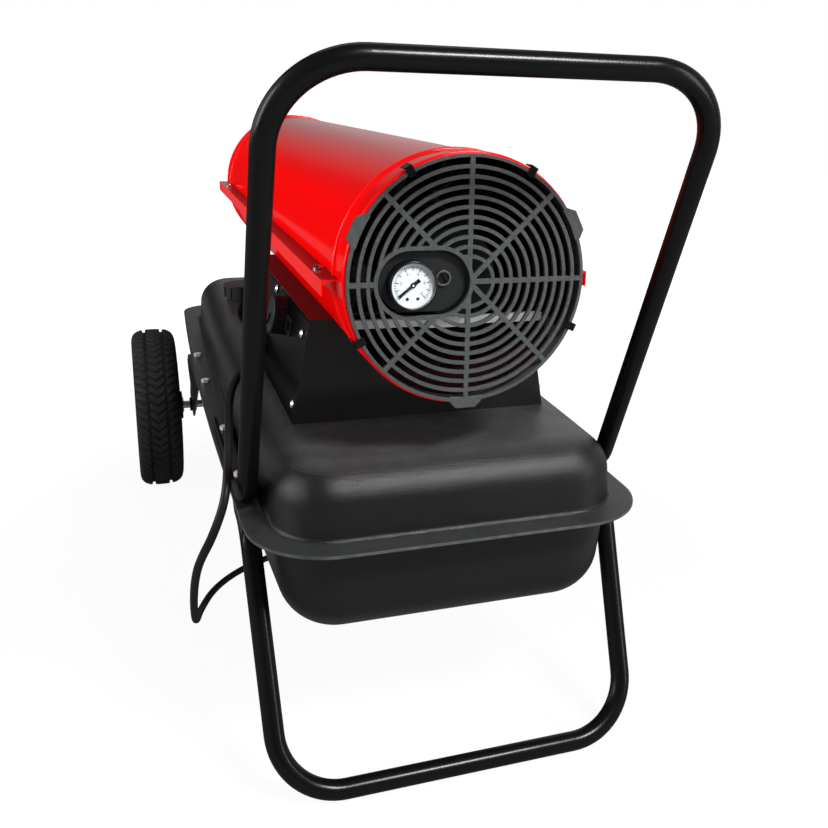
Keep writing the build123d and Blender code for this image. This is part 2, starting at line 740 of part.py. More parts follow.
# ================================================================ pedestal and its covers
def pedestal_block(inset, floor_drop):
    """The pedestal's tapered outer form, drawn in by an inset, as a solid prism along Y."""
    slope = (pedestal_half_base - pedestal_half_top) / pedestal_height
    side_inset = inset / cos(radians(lean))
    low = pedestal_half_base - side_inset + slope * floor_drop
    high = pedestal_half_top - side_inset + slope * inset
    top = pedestal_top_z - inset
    floor = tank_top_z - floor_drop
    section = Polyline((-low, floor), (low, floor), (high, top), (-high, top), close=True)
    end = Plane(origin=(0, pedestal_front_y - inset, 0), x_dir=(1, 0, 0), z_dir=(0, -1, 0))
    face = end * make_face(section)
    return extrude(face, amount=pedestal_front_y - pedestal_rear_y - 2 * inset)


def side_plane(side):
    """The leaning side of the pedestal: x forwards from its rear edge, y up the slope, z outwards."""
    tilt = radians(lean)
    flat = Plane(origin=(side * pedestal_half_base, pedestal_rear_y, tank_top_z), x_dir=(0, 1, 0),
                 z_dir=(side * cos(tilt), 0, sin(tilt)))
    return flat


def on_side(side, along, up, out=0.0):
    """A place on a side of the pedestal, its own x pointing forwards and its own z outwards."""
    return side_plane(side).location * Pos(along, side * up, out)


side_length = pedestal_front_y - pedestal_rear_y
side_height = pedestal_height / cos(radians(lean))
panel_holes = [(side_length / 2, top_screw_up)]
for along, up in zip(panel_screw_alongs, end_screw_ups):
    panel_holes += [(along, up), (side_length - along, up)]
panel_hole = disc(m5_hole, 40)

pedestal = pedestal_block(sheet, 0) - pedestal_block(2 * sheet, 5)
pedestal += block(-pedestal_half_top, pedestal_half_top, pedestal_rear_y + sheet, pedestal_front_y - sheet,
                  pedestal_top_z - sheet, pedestal_top_z)
middle = block(-pedestal_half_base, pedestal_half_base, pedestal_rear_y + sheet, pedestal_front_y - sheet,
               tank_top_z - sheet, pedestal_top_z + sheet)
pedestal += pedestal_block(0, 0) - middle
pedestal -= along_y(disc(casing_radius + seat_gap, side_length + 20), 0, pedestal_rear_y - 10, casing_z)
for side in (-1, 1):
    opening = Box(side_length - 2 * opening_margin, opening_ups[1] - opening_ups[0], 20)
    pedestal -= on_side(side, side_length / 2, sum(opening_ups) / 2) * opening
    for along, up in panel_holes:
        pedestal -= on_side(side, along, up, -20) * panel_hole
write("pedestal_body", pedestal)


def side_panel(side):
    """A flat cover on one side of the pedestal, drilled for its five screws."""
    height = side_height - sheet - 4 * seat_gap
    middle = on_side(side, side_length / 2, height / 2 + seat_gap, -sheet / 2)
    panel = middle * Box(side_length - 2 * sheet, height, sheet)
    for along, up in panel_holes:
        panel -= on_side(side, along, up, -20) * panel_hole
    return panel


control_panel = side_panel(-1)
control_panel -= on_side(-1, knob_along, knob_up) * Cylinder(4.0, 20)
control_panel -= on_side(-1, switch_along, switch_up) * Box(switch_length - 4, switch_height - 4, 20)
control_panel -= on_side(-1, relief_along, relief_up) * Cylinder(6.0, 20)
write("control_panel", control_panel)
write("side_cover", side_panel(1))

seam_screw = pan_screw(m5_radius, m5_head_radius, m5_head_height, 9)
panel_screw = pan_screw(m5_radius, m5_head_radius, m5_head_height, 8)
seam_top_z = casing_z + casing_wall
write("cover_screws", *[Pos(x, y, seam_top_z) * seam_screw for x, y in seam_screws],
      *[on_side(side, along, up) * panel_screw for side in (-1, 1) for along, up in panel_holes])


# ================================================================ rear guard
def guard_face(ring_width, spokes):
    """The grille's pattern in the XZ plane about the casing's axis, open at the gauge window."""
    pattern = Sketch()
    for index in range(guard_ring_count):
        radius = guard_ring_first + index * guard_ring_pitch
        pattern += Circle(radius + ring_width / 2) - Circle(radius - ring_width / 2)
    if spokes:
        spoke = Rectangle(2 * guard_radius - 2, guard_spoke_width)
        for turn in range(guard_spoke_count // 2):
            pattern += Rot(0, 0, turn * 360 / guard_spoke_count) * spoke
    pattern -= Pos(window_x, 0) * SlotOverall(window_length - window_frame, window_height - window_frame)
    return pattern


def facing_rear(sketch, depth, y):
    """A sketch seen from behind the heater, standing at y and thickened along the air flow."""
    upright = Plane(origin=(0, y, casing_z), x_dir=(1, 0, 0), z_dir=(0, -1, 0)) * sketch
    return extrude(upright, amount=-depth)


window_inside = SlotOverall(window_length - 2 * window_frame, window_height - 2 * window_frame)
frame_face = Pos(window_x, 0) * (SlotOverall(window_length, window_height) - window_inside)
rim_face = Circle(guard_radius) - Circle(guard_radius - guard_rim)
guard = facing_rear(guard_face(guard_ring_width, True) + frame_face + rim_face, guard_ring_depth, 0)
skirt_radius = inner_radius - seat_gap
skirt = tube(skirt_radius, skirt_radius - guard_skirt_wall, guard_skirt_depth - guard_ring_depth + 0.5)
guard += along_y(skirt, 0, guard_ring_depth - 0.5, casing_z)
for angle in guard_lug_angles:
    span = radians(guard_lug_span)
    reach = guard_radius + guard_lug_reach
    low = guard_radius - guard_rim - 2
    wide = guard_radius * tan(span)
    narrow = wide * 0.62
    lug = make_face(Polyline((low, -wide), (guard_radius, -wide), (reach, -narrow), (reach, narrow),
                             (guard_radius, wide), (low, wide), close=True))
    lug -= Circle(guard_radius - guard_rim - 1)
    guard += facing_rear(Rot(0, 0, angle) * lug, guard_ring_depth, 0)
write("rear_guard", guard)

clips = []
clip_outer = guard_radius + clip_reach
leaf = Pos(clip_outer - (clip_inset + clip_reach) / 2, 0) * Rectangle(clip_inset + clip_reach, clip_width)
tail = Pos(clip_outer - clip_thickness / 2, 0) * Rectangle(clip_thickness, clip_width)
for angle in clip_angles:
    clip = facing_rear(Rot(0, 0, angle) * leaf, clip_thickness, -clip_thickness)
    clips.append(clip + facing_rear(Rot(0, 0, angle) * tail, clip_depth, -clip_thickness))
write("guard_clips", *clips)

# ================================================================ motor, fan and pump
shaft = along_y(disc(shaft_radius, shaft_front_y - shaft_rear_y), 0, shaft_rear_y, casing_z)
write("motor_shaft", shaft)

motor = along_y(disc(motor_radius, motor_front_y - motor_rear_y), 0, motor_rear_y, casing_z)
motor = fillet(motor.edges().filter_by(GeomType.CIRCLE), motor_edge)
slot = Pos(motor_radius, 0, 0) * Box(2 * motor_slot_depth, motor_slot_width, motor_slot_length, align=LOW)
slot_y = (motor_rear_y + motor_front_y - motor_slot_length) / 2
for turn in range(motor_slots):
    motor -= along_y(Rot(0, 0, (turn + 0.5) * 360 / motor_slots) * slot, 0, slot_y, casing_z)
spigot = disc(motor_spigot_radius, motor_rear_y - pump_rear_y - pump_length)
motor += along_y(spigot, 0, pump_rear_y + pump_length, casing_z)
motor -= along_y(disc(shaft_radius + fit_gap, shaft_front_y), 0, 0, casing_z)
write("motor_body", motor)

strap_inner = motor_radius + fit_gap
strap = along_y(tube(strap_inner + strap_thickness, strap_inner, strap_width), 0, strap_y, casing_z)
bar_half = sqrt(inner_radius ** 2 - (casing_z - bar_z + bar_height / 2) ** 2) - seat_gap
bar = block(-bar_half, bar_half, bar_y - bar_depth, bar_y, bar_z - bar_height / 2, bar_z + bar_height / 2)
shelf_top = bar_z - bar_height / 2
shelf_bottom = shelf_top - strap_thickness
strap_end = strap_y + strap_width
shelf = block(-shelf_width / 2, shelf_width / 2, bar_y - bar_depth, strap_end, shelf_bottom, shelf_top)
front_half = sqrt(inner_radius ** 2 - (casing_z - shelf_bottom) ** 2) - seat_gap
front_bar = block(-front_half, front_half, strap_y, strap_end, shelf_bottom, shelf_top)
write("motor_bracket", strap + bar + shelf + front_bar)

blade_reach = fan_radius - fan_hub_radius + 3
blade = Rot(fan_pitch, 0, 0) * Box(blade_reach, fan_blade_width, fan_blade_thickness)
blade = Pos(fan_hub_radius - 3 + blade_reach / 2, 0, 0) * blade
blade &= Cylinder(fan_radius, 2 * fan_blade_width)
fan = Pos(0, 0, -fan_hub_length / 2) * disc(fan_hub_radius, fan_hub_length)
for turn in range(fan_blades):
    fan += Rot(0, 0, turn * 360 / fan_blades) * blade
fan -= Cylinder(shaft_radius + fit_gap, 2 * fan_hub_length)
write("fan", along_y(fan, 0, fan_hub_rear_y + fan_hub_length / 2, casing_z))

pump = disc(pump_radius, pump_length) - Pos(0, 0, pump_plate) * disc(pump_chamber_radius, pump_chamber_length)
pump -= disc(shaft_radius + fit_gap, pump_length)
pump = along_y(pump, 0, pump_rear_y, casing_z)
pump -= Pos(air_hose_x, air_port_y, casing_z - pump_radius) * disc(hose_radius + fit_gap, pump_radius)
write("pump_body", pump)

rotor = disc(pump_rotor_radius, pump_chamber_length - 2 * run_gap) - disc(shaft_radius + fit_gap, pump_length)
vane_slot = Box(2 * vane_slot_depth, vane_slot_width, 2 * pump_length)
for turn in range(4):
    rotor -= Rot(0, 0, turn * 90) * Pos(pump_rotor_radius, 0, 0) * vane_slot
write("pump_rotor", along_y(rotor, 0, pump_rear_y + pump_plate + run_gap, casing_z))

plate_margin = 2 * window_frame + 4
plate_outline = Pos(window_x, 0) * SlotOverall(window_length - plate_margin, window_height - plate_margin)
end_cover = facing_rear(plate_outline, cover_plate, cover_rear_y)
cover_neck = tube(cover_neck_radius, cover_neck_radius - 4, pump_rear_y - cover_rear_y - cover_plate + 0.5)
end_cover += along_y(cover_neck, -30, cover_rear_y + cover_plate - 0.5, casing_z)
screw_boss_y = cover_rear_y - 2.0
end_cover += along_y(disc(screw_boss_radius, screw_boss_length), screw_x, screw_boss_y, screw_z)
end_cover -= along_y(disc(screw_radius + fit_gap, pump_rear_y), screw_x, 0, screw_z)
end_cover -= along_y(disc(gauge_stem_radius + fit_gap, cover_rear_y + 2 * cover_plate), gauge_x, 0, gauge_z)
write("pump_end_cover", end_cover)

# ================================================================ pressure gauge and adjusting screw
gauge_depth = cover_rear_y - gauge_front_y
gauge = tube(gauge_radius, gauge_radius - gauge_wall, gauge_depth)
gauge += Pos(0, 0, gauge_depth - gauge_floor) * disc(gauge_radius, gauge_floor)
gauge += tube(gauge_radius, gauge_radius - gauge_bezel, gauge_bezel)
gauge += Pos(0, 0, gauge_depth - 1) * disc(gauge_stem_radius, cover_plate + 5)
gauge_floor_y = gauge_front_y + gauge_depth - gauge_floor
gauge_case = along_y(gauge, gauge_x, gauge_front_y, gauge_z)
write("gauge_case", gauge_case)

dial_face_y = gauge_front_y + dial_drop
dial_depth = gauge_floor_y - dial_face_y
dial = disc(gauge_radius - gauge_wall - fit_gap, dial_depth) + Pos(0, 0, -2.5) * disc(0.8, 3)
write("gauge_dial", along_y(dial, gauge_x, dial_face_y, gauge_z))

hand = disc(2.4, 0.8) + block(-1.1, 1.1, -dial_radius + 2, 0, 0, 0.8) + block(-1.6, 1.6, 0, 7.5, 0, 0.8)
hand -= disc(0.8 + fit_gap, 5)
dial_plane = Plane(origin=(gauge_x, dial_face_y - 0.8, gauge_z), x_dir=(1, 0, 0), z_dir=(0, -1, 0))
write("gauge_needle", dial_plane.location * Rot(0, 0, needle_rest) * hand)

glass = disc(gauge_radius - gauge_bezel - fit_gap, 1.2)
write("gauge_lens", along_y(glass, gauge_x, gauge_front_y + 0.4, gauge_z))

screw = disc(screw_radius, screw_length) - block(-8, 8, -1, 1, 0, 2)
screw = Rot(0, 0, 60) * screw
write("pressure_screw", along_y(screw, screw_x, screw_boss_y + 1, screw_z))

# ================================================================ burner, chamber and outlet
chamber = tube(chamber_radius, chamber_radius - chamber_wall, chamber_front_y - chamber_rear_y)
chamber += tube(chamber_radius, chamber_hole, chamber_wall)
tab_height = inner_radius - seat_gap - chamber_radius + chamber_wall / 2
tab_start = chamber_radius - chamber_wall / 2
for z in (40.0, chamber_front_y - chamber_rear_y - 60.0):
    for turn in range(3):
        tab = Pos(tab_start + tab_height / 2, 0, z) * Box(tab_height, tab_thickness, 18)
        chamber += Rot(0, 0, 90 + turn * 120) * tab
write("combustion_chamber", along_y(chamber, 0, chamber_rear_y, casing_z))

cone_length = cone_front_y - cone_rear_y
cone = turned([(inner_radius - seat_gap, 0), (inner_radius - seat_gap, 10),
               (cone_mouth_radius + chamber_wall, cone_length), (cone_mouth_radius, cone_length),
               (inner_radius - seat_gap - chamber_wall, 9.5), (inner_radius - seat_gap - chamber_wall, 0)])
write("outlet_cone", along_y(cone, 0, cone_rear_y, casing_z))

head = disc(burner_radius, burner_plate)
head += Pos(0, 0, burner_plate) * tube(chamber_hole - seat_gap, chamber_hole - 3, 8)
for turn in range(8):
    head -= Rot(0, 0, turn * 45) * Pos(20, 0, 0) * Rot(0, 0, 30) * Box(12, 3, 10)
head += tube(nozzle_radius + 3, nozzle_radius + fit_gap, burner_plate)
head -= disc(nozzle_radius + fit_gap, 10)
head -= Pos(0, -electrode_rise, 0) * Cylinder(electrode_radius + 2 * fit_gap, electrode_length)
write("burner_head", along_y(head, 0, head_y, casing_z))

nozzle = disc(nozzle_radius, nozzle_length) + Pos(0, 0, nozzle_length) * Cone(nozzle_radius, 3, 5, align=LOW)
nozzle = along_y(nozzle, 0, nozzle_rear_y, casing_z)
nozzle += Pos(0, adapter_y, casing_z) * Box(adapter_size, adapter_size, adapter_size)
write("fuel_nozzle", nozzle)

rod = disc(electrode_radius, electrode_length)
rod += Pos(0, 0, electrode_length) * disc(electrode_tip_radius, electrode_tip_length)
write("spark_electrode", along_y(rod, 0, head_y - 0.65 * electrode_length, casing_z + electrode_rise))

photocell = disc(photocell_radius, photocell_length)
photocell += Pos(0, 0, -photocell_tail_length) * disc(photocell_tail_radius, photocell_tail_length)
photocell_y = chamber_rear_y - photocell_length
write("photocell", along_y(photocell, photocell_x, photocell_y, casing_z + photocell_rise))

# ================================================================ hoses
def hose(points, bends):
    """A bored hose along straight runs joined by round bends."""
    path = FilletPolyline(*points, radius=bends)
    start = Plane(origin=points[0], z_dir=Vector(*points[1]) - Vector(*points[0]))
    outer = sweep(start * Circle(hose_radius), path=path)
    return outer - sweep(start * Circle(hose_bore), path=path)


port_x = adapter_size / 2
end_bend = 0.7 * (air_hose_x - port_x)
air_hose = hose(
    [(air_hose_x, air_port_y, casing_z - air_port_drop), (air_hose_x, air_port_y, air_run_z),
     (air_hose_x, air_drop_y, air_run_z), (air_hose_x, air_drop_y, hose_run_z),
     (air_hose_x, adapter_y, hose_run_z), (air_hose_x, adapter_y, casing_z), (port_x, adapter_y, casing_z)],
    [hose_bend, hose_bend, hose_bend, hose_bend, end_bend])
write("air_hose", air_hose)

pickup_neck_z = 1.25 * pickup_height
fuel_line = hose(
    [(fuel_hose_x, pickup_y, pickup_z + pickup_neck_z), (fuel_hose_x, pickup_y, hose_run_z),
     (fuel_hose_x, adapter_y, hose_run_z), (fuel_hose_x, adapter_y, casing_z),
     (-port_x, adapter_y, casing_z)],
    [hose_bend, hose_bend, end_bend])
pickup_neck = hose_radius + 1
pickup = turned([(0, 0), (pickup_radius, 0), (pickup_radius, pickup_height), (pickup_neck, pickup_neck_z),
                 (pickup_neck, pickup_neck_z + 6), (0, pickup_neck_z + 6)])
write("fuel_line", fuel_line + Pos(fuel_hose_x, pickup_y, pickup_z) * pickup)


# ================================================================ electrical pieces
def on_tank(width, length, low, high):
    """A block on the tank's top, centred on the transformer's place."""
    return block(-width / 2, width / 2, transformer_y - length / 2, transformer_y + length / 2,
                 tank_top_z + low, tank_top_z + high)


transformer_top = transformer_foot_height + transformer_height
transformer = on_tank(transformer_width, transformer_length, transformer_foot_height, transformer_top)
transformer = fillet(transformer.edges().filter_by(Axis.Z), transformer_corner)
transformer += on_tank(transformer_foot_width, transformer_foot_length, 0, transformer_foot_height)
terminal = Pos(0, transformer_y - transformer_length / 2, tank_top_z + terminal_rise) * Rot(90, 0, 0) * disc(
    terminal_radius, terminal_length)
for side in (-1, 1):
    transformer += Pos(side * terminal_x, 0, 0) * terminal
write("ignition_transformer", transformer)

board_out = -sheet - board_standoff
board = Pos(0, 0, -0.8) * Box(board_length, board_height, 1.6)
for x in (-1, 1):
    for y in (-1, 1):
        board += Pos(x * (board_length / 2 - 5), y * (board_height / 2 - 5), 0) * disc(3, board_standoff)
board += Pos(24, 14, -12) * Box(28, 20, 21)
board += Pos(24, -16, -8) * Box(18, 16, 13)
board += Pos(-8, 14, -9) * Box(12, 22, 15)
board = on_side(-1, board_along, sum(opening_ups) / 2, board_out) * board
board += on_side(-1, knob_along, knob_up, board_out) * disc(potentiometer_radius, board_standoff)
board -= on_side(-1, knob_along, knob_up, board_out) * disc(3 + fit_gap, 40)
write("control_board", board)

knob = disc(knob_radius, knob_height) - Pos(0, 0, -0.5) * disc(knob_radius - 3, 4)
knob = fillet(knob.faces().sort_by(Axis.Z)[-1].edges(), 2)
for turn in range(knob_flutes):
    knob -= Rot(0, 0, turn * 360 / knob_flutes) * Pos(knob_radius + 0.6, 0, -1) * disc(1.8, knob_height - 3)
knob += Pos(0, 0, knob_height - 1) * block(-2.2, 2.2, 2, knob_radius - 4, 0, 2.5)
knob += Pos(0, 0, -sheet - run_gap - board_standoff + 1) * disc(3, sheet + run_gap + board_standoff + 3)
knob_turn = Rot(0, 0, -45)
write("thermostat_knob", on_side(-1, knob_along, knob_up, run_gap) * knob_turn * knob)

housing = Pos(0, 0, 1) * Box(switch_length, switch_height, 2)
housing += Pos(0, 0, -switch_depth / 2) * Box(
    switch_length - 4 - 2 * fit_gap, switch_height - 4 - 2 * fit_gap, switch_depth)
cavity_length = rocker_length + 4 * run_gap
cavity_width = rocker_width + 1.6 * run_gap
housing -= Pos(0, 0, -4) * Box(cavity_length, cavity_width, 16)
housing -= Pos(0, 0, -rocker_drop) * Rot(90, 0, 0) * Cylinder(rocker_pivot + fit_gap, switch_height - 6)
write("switch_housing", on_side(-1, switch_along, switch_up) * housing)

half = rocker_length / 2
rocker_face = make_face(Polyline((-half, 3.6), (0, 2.2), (half, 3.6), (half - 1.5, -3), (3, -7), (-3, -7),
                                 (1.5 - half, -3), close=True))
rocker_side = Plane(origin=(0, rocker_width / 2, 0), x_dir=(1, 0, 0), z_dir=(0, -1, 0))
rocker = extrude(rocker_side * rocker_face, amount=rocker_width)
rocker += Pos(0, 0, -rocker_drop) * Rot(90, 0, 0) * Cylinder(rocker_pivot, switch_height - 6.4)
rocker = Pos(0, 0, -rocker_drop) * Rot(0, rocker_tilt, 0) * Pos(0, 0, rocker_drop) * rocker
write("power_switch", on_side(-1, switch_along, switch_up) * rocker)

# ================================================================ power cord
relief_base = on_side(-1, relief_along, relief_up).position
aim = (Vector(*cord_first_bend) - relief_base).normalized()
relief_tip = relief_base + aim * relief_length
boot = Cone(relief_radius, cord_radius + 1.2, relief_length, align=LOW)
boot = Plane(origin=relief_base, z_dir=aim).location * boot
boot += Pos(*relief_base) * Sphere(relief_radius + 0.6)
outside = on_side(-1, relief_along, relief_up) * Box(60, 60, 60, align=LOW)
boot &= outside
relief = boot + on_side(-1, relief_along, relief_up) * disc(relief_radius + 2.5, 2)
relief += on_side(-1, relief_along, relief_up, -sheet - 7) * disc(6 - fit_gap, sheet + 7)
relief += on_side(-1, relief_along, relief_up, -sheet - 4) * extrude(RegularPolygon(10, 6), amount=4)
write("strain_relief", relief)

cord_start = tuple(relief_tip)
coil_start = (coil_x - 2 * cord_radius, coil_y - coil_radius, cord_radius)
cord_route = [
    cord_start,
    cord_first_bend, (-180, 255, 317), (-188, 205, 314), (-193, 152, 309), (-199, 108, 298),
    (-205, 76, 270), (-219, 72, 234), (-231, 101, 195), (-234, 148, 150), (-234, 198, 100),
    (-232, 246, 54), (-228, 296, 17), (-220, 346, cord_radius), (-200, 394, cord_radius),
    (-166, 434, cord_radius), (-120, 464, cord_radius), (-64, coil_start[1], cord_radius),
    coil_start,
]


def tube_radii(points):
    """The largest round bend that each corner's two runs allow."""
    radii = []
    for before, at, after in zip(points, points[1:], points[2:]):
        run_in = Vector(*at) - Vector(*before)
        run_out = Vector(*after) - Vector(*at)
        half_turn = radians(run_in.get_angle(run_out)) / 2
        radii.append(0.45 * min(run_in.length, run_out.length) / tan(half_turn))
    return radii


cord_radii = tube_radii(cord_route)
cord_path = FilletPolyline(*cord_route, radius=cord_radii)
cord_seat = Plane(origin=cord_route[0], z_dir=Vector(*cord_route[1]) - Vector(*cord_route[0]))
cord = sweep(cord_seat * Circle(cord_radius), path=cord_path)
print("cord bends", [round(r) for r in cord_radii], "length", round(cord_path.length),
      "volume share", round(cord.volume / (pi * cord_radius ** 2 * cord_path.length), 4))
write("power_cord", cord)

# The coil: from its outer turn on the floor it winds in, climbs a layer in the half turn where it
# reverses, and winds out again on top; the last half turn lifts towards the plug.
quarter_turns = 12
reverse_at = 4


def coil_station(quarter):
    """Radius and height of the cord's centre after this many quarter turns."""
    step = coil_pitch / 4
    inner = coil_radius - reverse_at * step
    if quarter <= reverse_at:
        return coil_radius - quarter * step, cord_radius
    if quarter == reverse_at + 1:
        return inner - 2.6, cord_radius + coil_pitch / 2
    lift = max(0, quarter - quarter_turns + 2) * (plug_radius + 1 - cord_radius - coil_pitch) / 2
    return inner - 1.5 + (quarter - reverse_at - 2) * step, cord_radius + coil_pitch + lift


def coil_point(quarter):
    radius, height = coil_station(quarter)
    angle = radians(-90 + 90 * quarter)
    return Vector(coil_x + radius * cos(angle), coil_y + radius * sin(angle), height)


def coil_heading(quarter):
    """Unit direction of the cord there: along the turn, with the slope of its neighbours."""
    angle = radians(90 * quarter)
    if quarter in (0, quarter_turns):
        return Vector(1, 0, 0)
    rise = (coil_station(quarter + 1)[1] - coil_station(quarter - 1)[1]) / 2
    grow = (coil_station(quarter + 1)[0] - coil_station(quarter - 1)[0]) / 2
    quarter_length = pi / 2 * coil_station(quarter)[0]
    along = Vector(cos(angle), sin(angle), 0)
    outwards = Vector(sin(angle), -cos(angle), 0)
    return (along * quarter_length + outwards * grow + Vector(0, 0, rise)).normalized()


def biarc(start, start_heading, end, end_heading):
    """Two arcs that join two points and share a tangent where they meet."""
    span = end - start
    both = start_heading + end_heading
    spread = 2 * (1 - start_heading.dot(end_heading))
    reach = (-span.dot(both) + sqrt(span.dot(both) ** 2 + spread * span.dot(span))) / spread
    middle = (start + end + (start_heading - end_heading) * reach) * 0.5
    middle_heading = (end - end_heading * reach) - (start + start_heading * reach)
    return [TangentArc(start, middle, tangent=start_heading), TangentArc(middle, end, tangent=middle_heading)]


coil_edges = [Line(coil_start, coil_point(0))]
for quarter in range(quarter_turns):
    after = quarter + 1
    coil_edges += biarc(coil_point(quarter), coil_heading(quarter), coil_point(after), coil_heading(after))
coil_end = coil_point(quarter_turns)
tail_end = coil_end + Vector(coil_tail, 0, 0)
coil_edges.append(Line(coil_end, tail_end))
coil_path = Wire(coil_edges)
coil = sweep(Plane(origin=coil_start, z_dir=(1, 0, 0)) * Circle(cord_radius), path=coil_path)
samples = [coil_path.position_at(i / 400) for i in range(401)]
gap = min((a - b).length for i, a in enumerate(samples) for j, b in enumerate(samples)
          if (j - i) * coil_path.length / 400 > 12 * cord_radius) - 2 * cord_radius
print("coil length", round(coil_path.length), "least gap to itself", round(gap, 2),
      "volume share", round(coil.volume / (pi * cord_radius ** 2 * coil_path.length), 4))
write("cord_coil", coil)

plug_end = plug_boot + plug_body
plug = turned([(0, 0), (cord_radius + 1.5, 0), (plug_neck_radius, plug_boot),
               (plug_radius - 3, plug_boot + 3), (plug_radius, plug_boot + 8), (plug_radius, plug_end),
               (0, plug_end)])
for side in (-1, 1):
    plug -= Pos(0, side * (plug_radius + 1), plug_boot + plug_body / 2 + 6) * Box(10, 5, plug_body)
pin_solid = disc(plug_pin_radius, plug_pin_length - 1) + Pos(0, 0, plug_pin_length - 1) * Cone(
    plug_pin_radius, plug_pin_radius - 1, 1, align=LOW)
for side in (-1, 1):
    plug += Pos(side * plug_pin_spacing / 2, 0, plug_end) * pin_solid
write("power_plug", along_x(plug, tail_end.X, tail_end.Y, tail_end.Z))
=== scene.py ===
import bpy
import numpy as np
from math import cos, radians, sin
from mathutils import Matrix, Vector


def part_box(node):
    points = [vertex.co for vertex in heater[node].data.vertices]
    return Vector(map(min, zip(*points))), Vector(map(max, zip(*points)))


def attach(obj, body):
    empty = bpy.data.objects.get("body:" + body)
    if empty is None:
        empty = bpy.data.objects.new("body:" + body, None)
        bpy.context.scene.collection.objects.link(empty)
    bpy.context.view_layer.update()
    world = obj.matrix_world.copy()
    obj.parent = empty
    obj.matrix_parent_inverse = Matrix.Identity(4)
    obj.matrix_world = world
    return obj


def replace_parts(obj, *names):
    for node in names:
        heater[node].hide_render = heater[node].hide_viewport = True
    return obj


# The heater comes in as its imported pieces, in metres: +Y runs along the air flow, +Z is up, and the
# origin lies on the floor under the middle.  Every section below dresses one piece or group of pieces.
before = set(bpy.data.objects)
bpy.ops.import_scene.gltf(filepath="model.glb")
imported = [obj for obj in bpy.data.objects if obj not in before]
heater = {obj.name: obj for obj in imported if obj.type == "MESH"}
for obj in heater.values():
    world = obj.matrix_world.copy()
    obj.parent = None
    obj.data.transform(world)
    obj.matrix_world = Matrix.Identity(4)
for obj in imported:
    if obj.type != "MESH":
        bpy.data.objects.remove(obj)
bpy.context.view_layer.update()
studio = bpy.context.scene
studio.view_settings.view_transform = "Standard"

# ------------------------------------------------------------------------------------------ camera
# A small camera held a little above the guard, behind the heater and to its left, looking slightly
# down at it.


def put(name, data):
    """An object of that data in the scene, at the origin."""
    made = bpy.data.objects.new(name, data)
    studio.collection.objects.link(made)
    return made


eye = Vector((-0.2750, -1.2151, 0.6364))
turn_right, tip_down, roll = radians(20.0), radians(16.8), radians(1.9)
ahead = Vector((sin(turn_right) * cos(tip_down), cos(turn_right) * cos(tip_down), -sin(tip_down)))
level_right = Vector((cos(turn_right), -sin(turn_right), 0))
level_up = level_right.cross(ahead)
right = cos(roll) * level_right + sin(roll) * level_up
up = cos(roll) * level_up - sin(roll) * level_right
lens = bpy.data.cameras.new("camera")
lens.sensor_width = 36.0
lens.lens = 41.58
lens.shift_x = -0.0676
lens.shift_y = -0.0397
camera = put("camera", lens)
camera.matrix_world = Matrix((
    (right.x, up.x, -ahead.x, eye.x),
    (right.y, up.y, -ahead.y, eye.y),
    (right.z, up.z, -ahead.z, eye.z),
    (0, 0, 0, 1),
))
studio.camera = camera

# ------------------------------------------------------------------------------------ floor and light
# A white sweep of floor in a white room.  Reflections find the room dimmer overhead and behind the
# camera, with a black screen on the left and a bright wall past it.  Matt surfaces are lit from behind
# the camera and from the left, and four soft boxes light everything.


def node(tree, kind, inputs=(), **settings):
    """A shader node with its settings, and its inputs set to a number or linked to an output."""
    made = tree.nodes.new(kind)
    for key, value in settings.items():
        setattr(made, key, value)
    for key, value in dict(inputs).items():
        if isinstance(value, bpy.types.NodeSocket):
            tree.links.new(value, made.inputs[key])
        else:
            made.inputs[key].default_value = value
    return made


def maths(tree, operation, *values):
    """The result of one operation on numbers and outputs."""
    return node(tree, "ShaderNodeMath", dict(enumerate(values)), operation=operation).outputs[0]


def ramp(tree, value, over, gives=(0.0, 1.0)):
    """Goes evenly from one number to another while the value crosses a range, and holds past its ends."""
    return node(tree, "ShaderNodeMapRange", {"Value": value, "From Min": over[0], "From Max": over[1],
                                             "To Min": gives[0], "To Max": gives[1]}).outputs[0]


def ray_kinds(tree):
    """Two results: 1 for a camera ray, and 1 for a glossy or a transmission ray."""
    ray = node(tree, "ShaderNodeLightPath").outputs
    return ray["Is Camera Ray"], maths(tree, "MAXIMUM", ray["Is Glossy Ray"], ray["Is Transmission Ray"])


room = bpy.data.worlds.new("room")
studio.world = room
room.use_nodes = True
tree = room.node_tree
tree.nodes.clear()
camera_ray, mirror_ray = ray_kinds(tree)
direct = maths(tree, "MAXIMUM", camera_ray, mirror_ray)
way = node(tree, "ShaderNodeTexCoord").outputs["Generated"]
side = node(tree, "ShaderNodeSeparateXYZ", {"Vector": way}).outputs
# What reflections find.
ceiling = ramp(tree, side["Z"], (0.1, 0.8), (0.95, 0.2))
screen = ramp(tree, side["X"], (-0.1, 0.2), (0.02, 1.0))
bright_wall = ramp(tree, side["X"], (-0.4, -0.7), (0.0, 2.2))
beyond = ramp(tree, side["Y"], (-0.3, 0.5), (0.15, 1.0))
walled = maths(tree, "MAXIMUM", screen, bright_wall)
dimmed = maths(tree, "MULTIPLY", maths(tree, "MULTIPLY", ceiling, walled), beyond)
seen = maths(tree, "MAXIMUM", camera_ray, dimmed)
backdrop = node(tree, "ShaderNodeBackground", {"Color": (1, 1, 1, 1), "Strength": seen}).outputs[0]
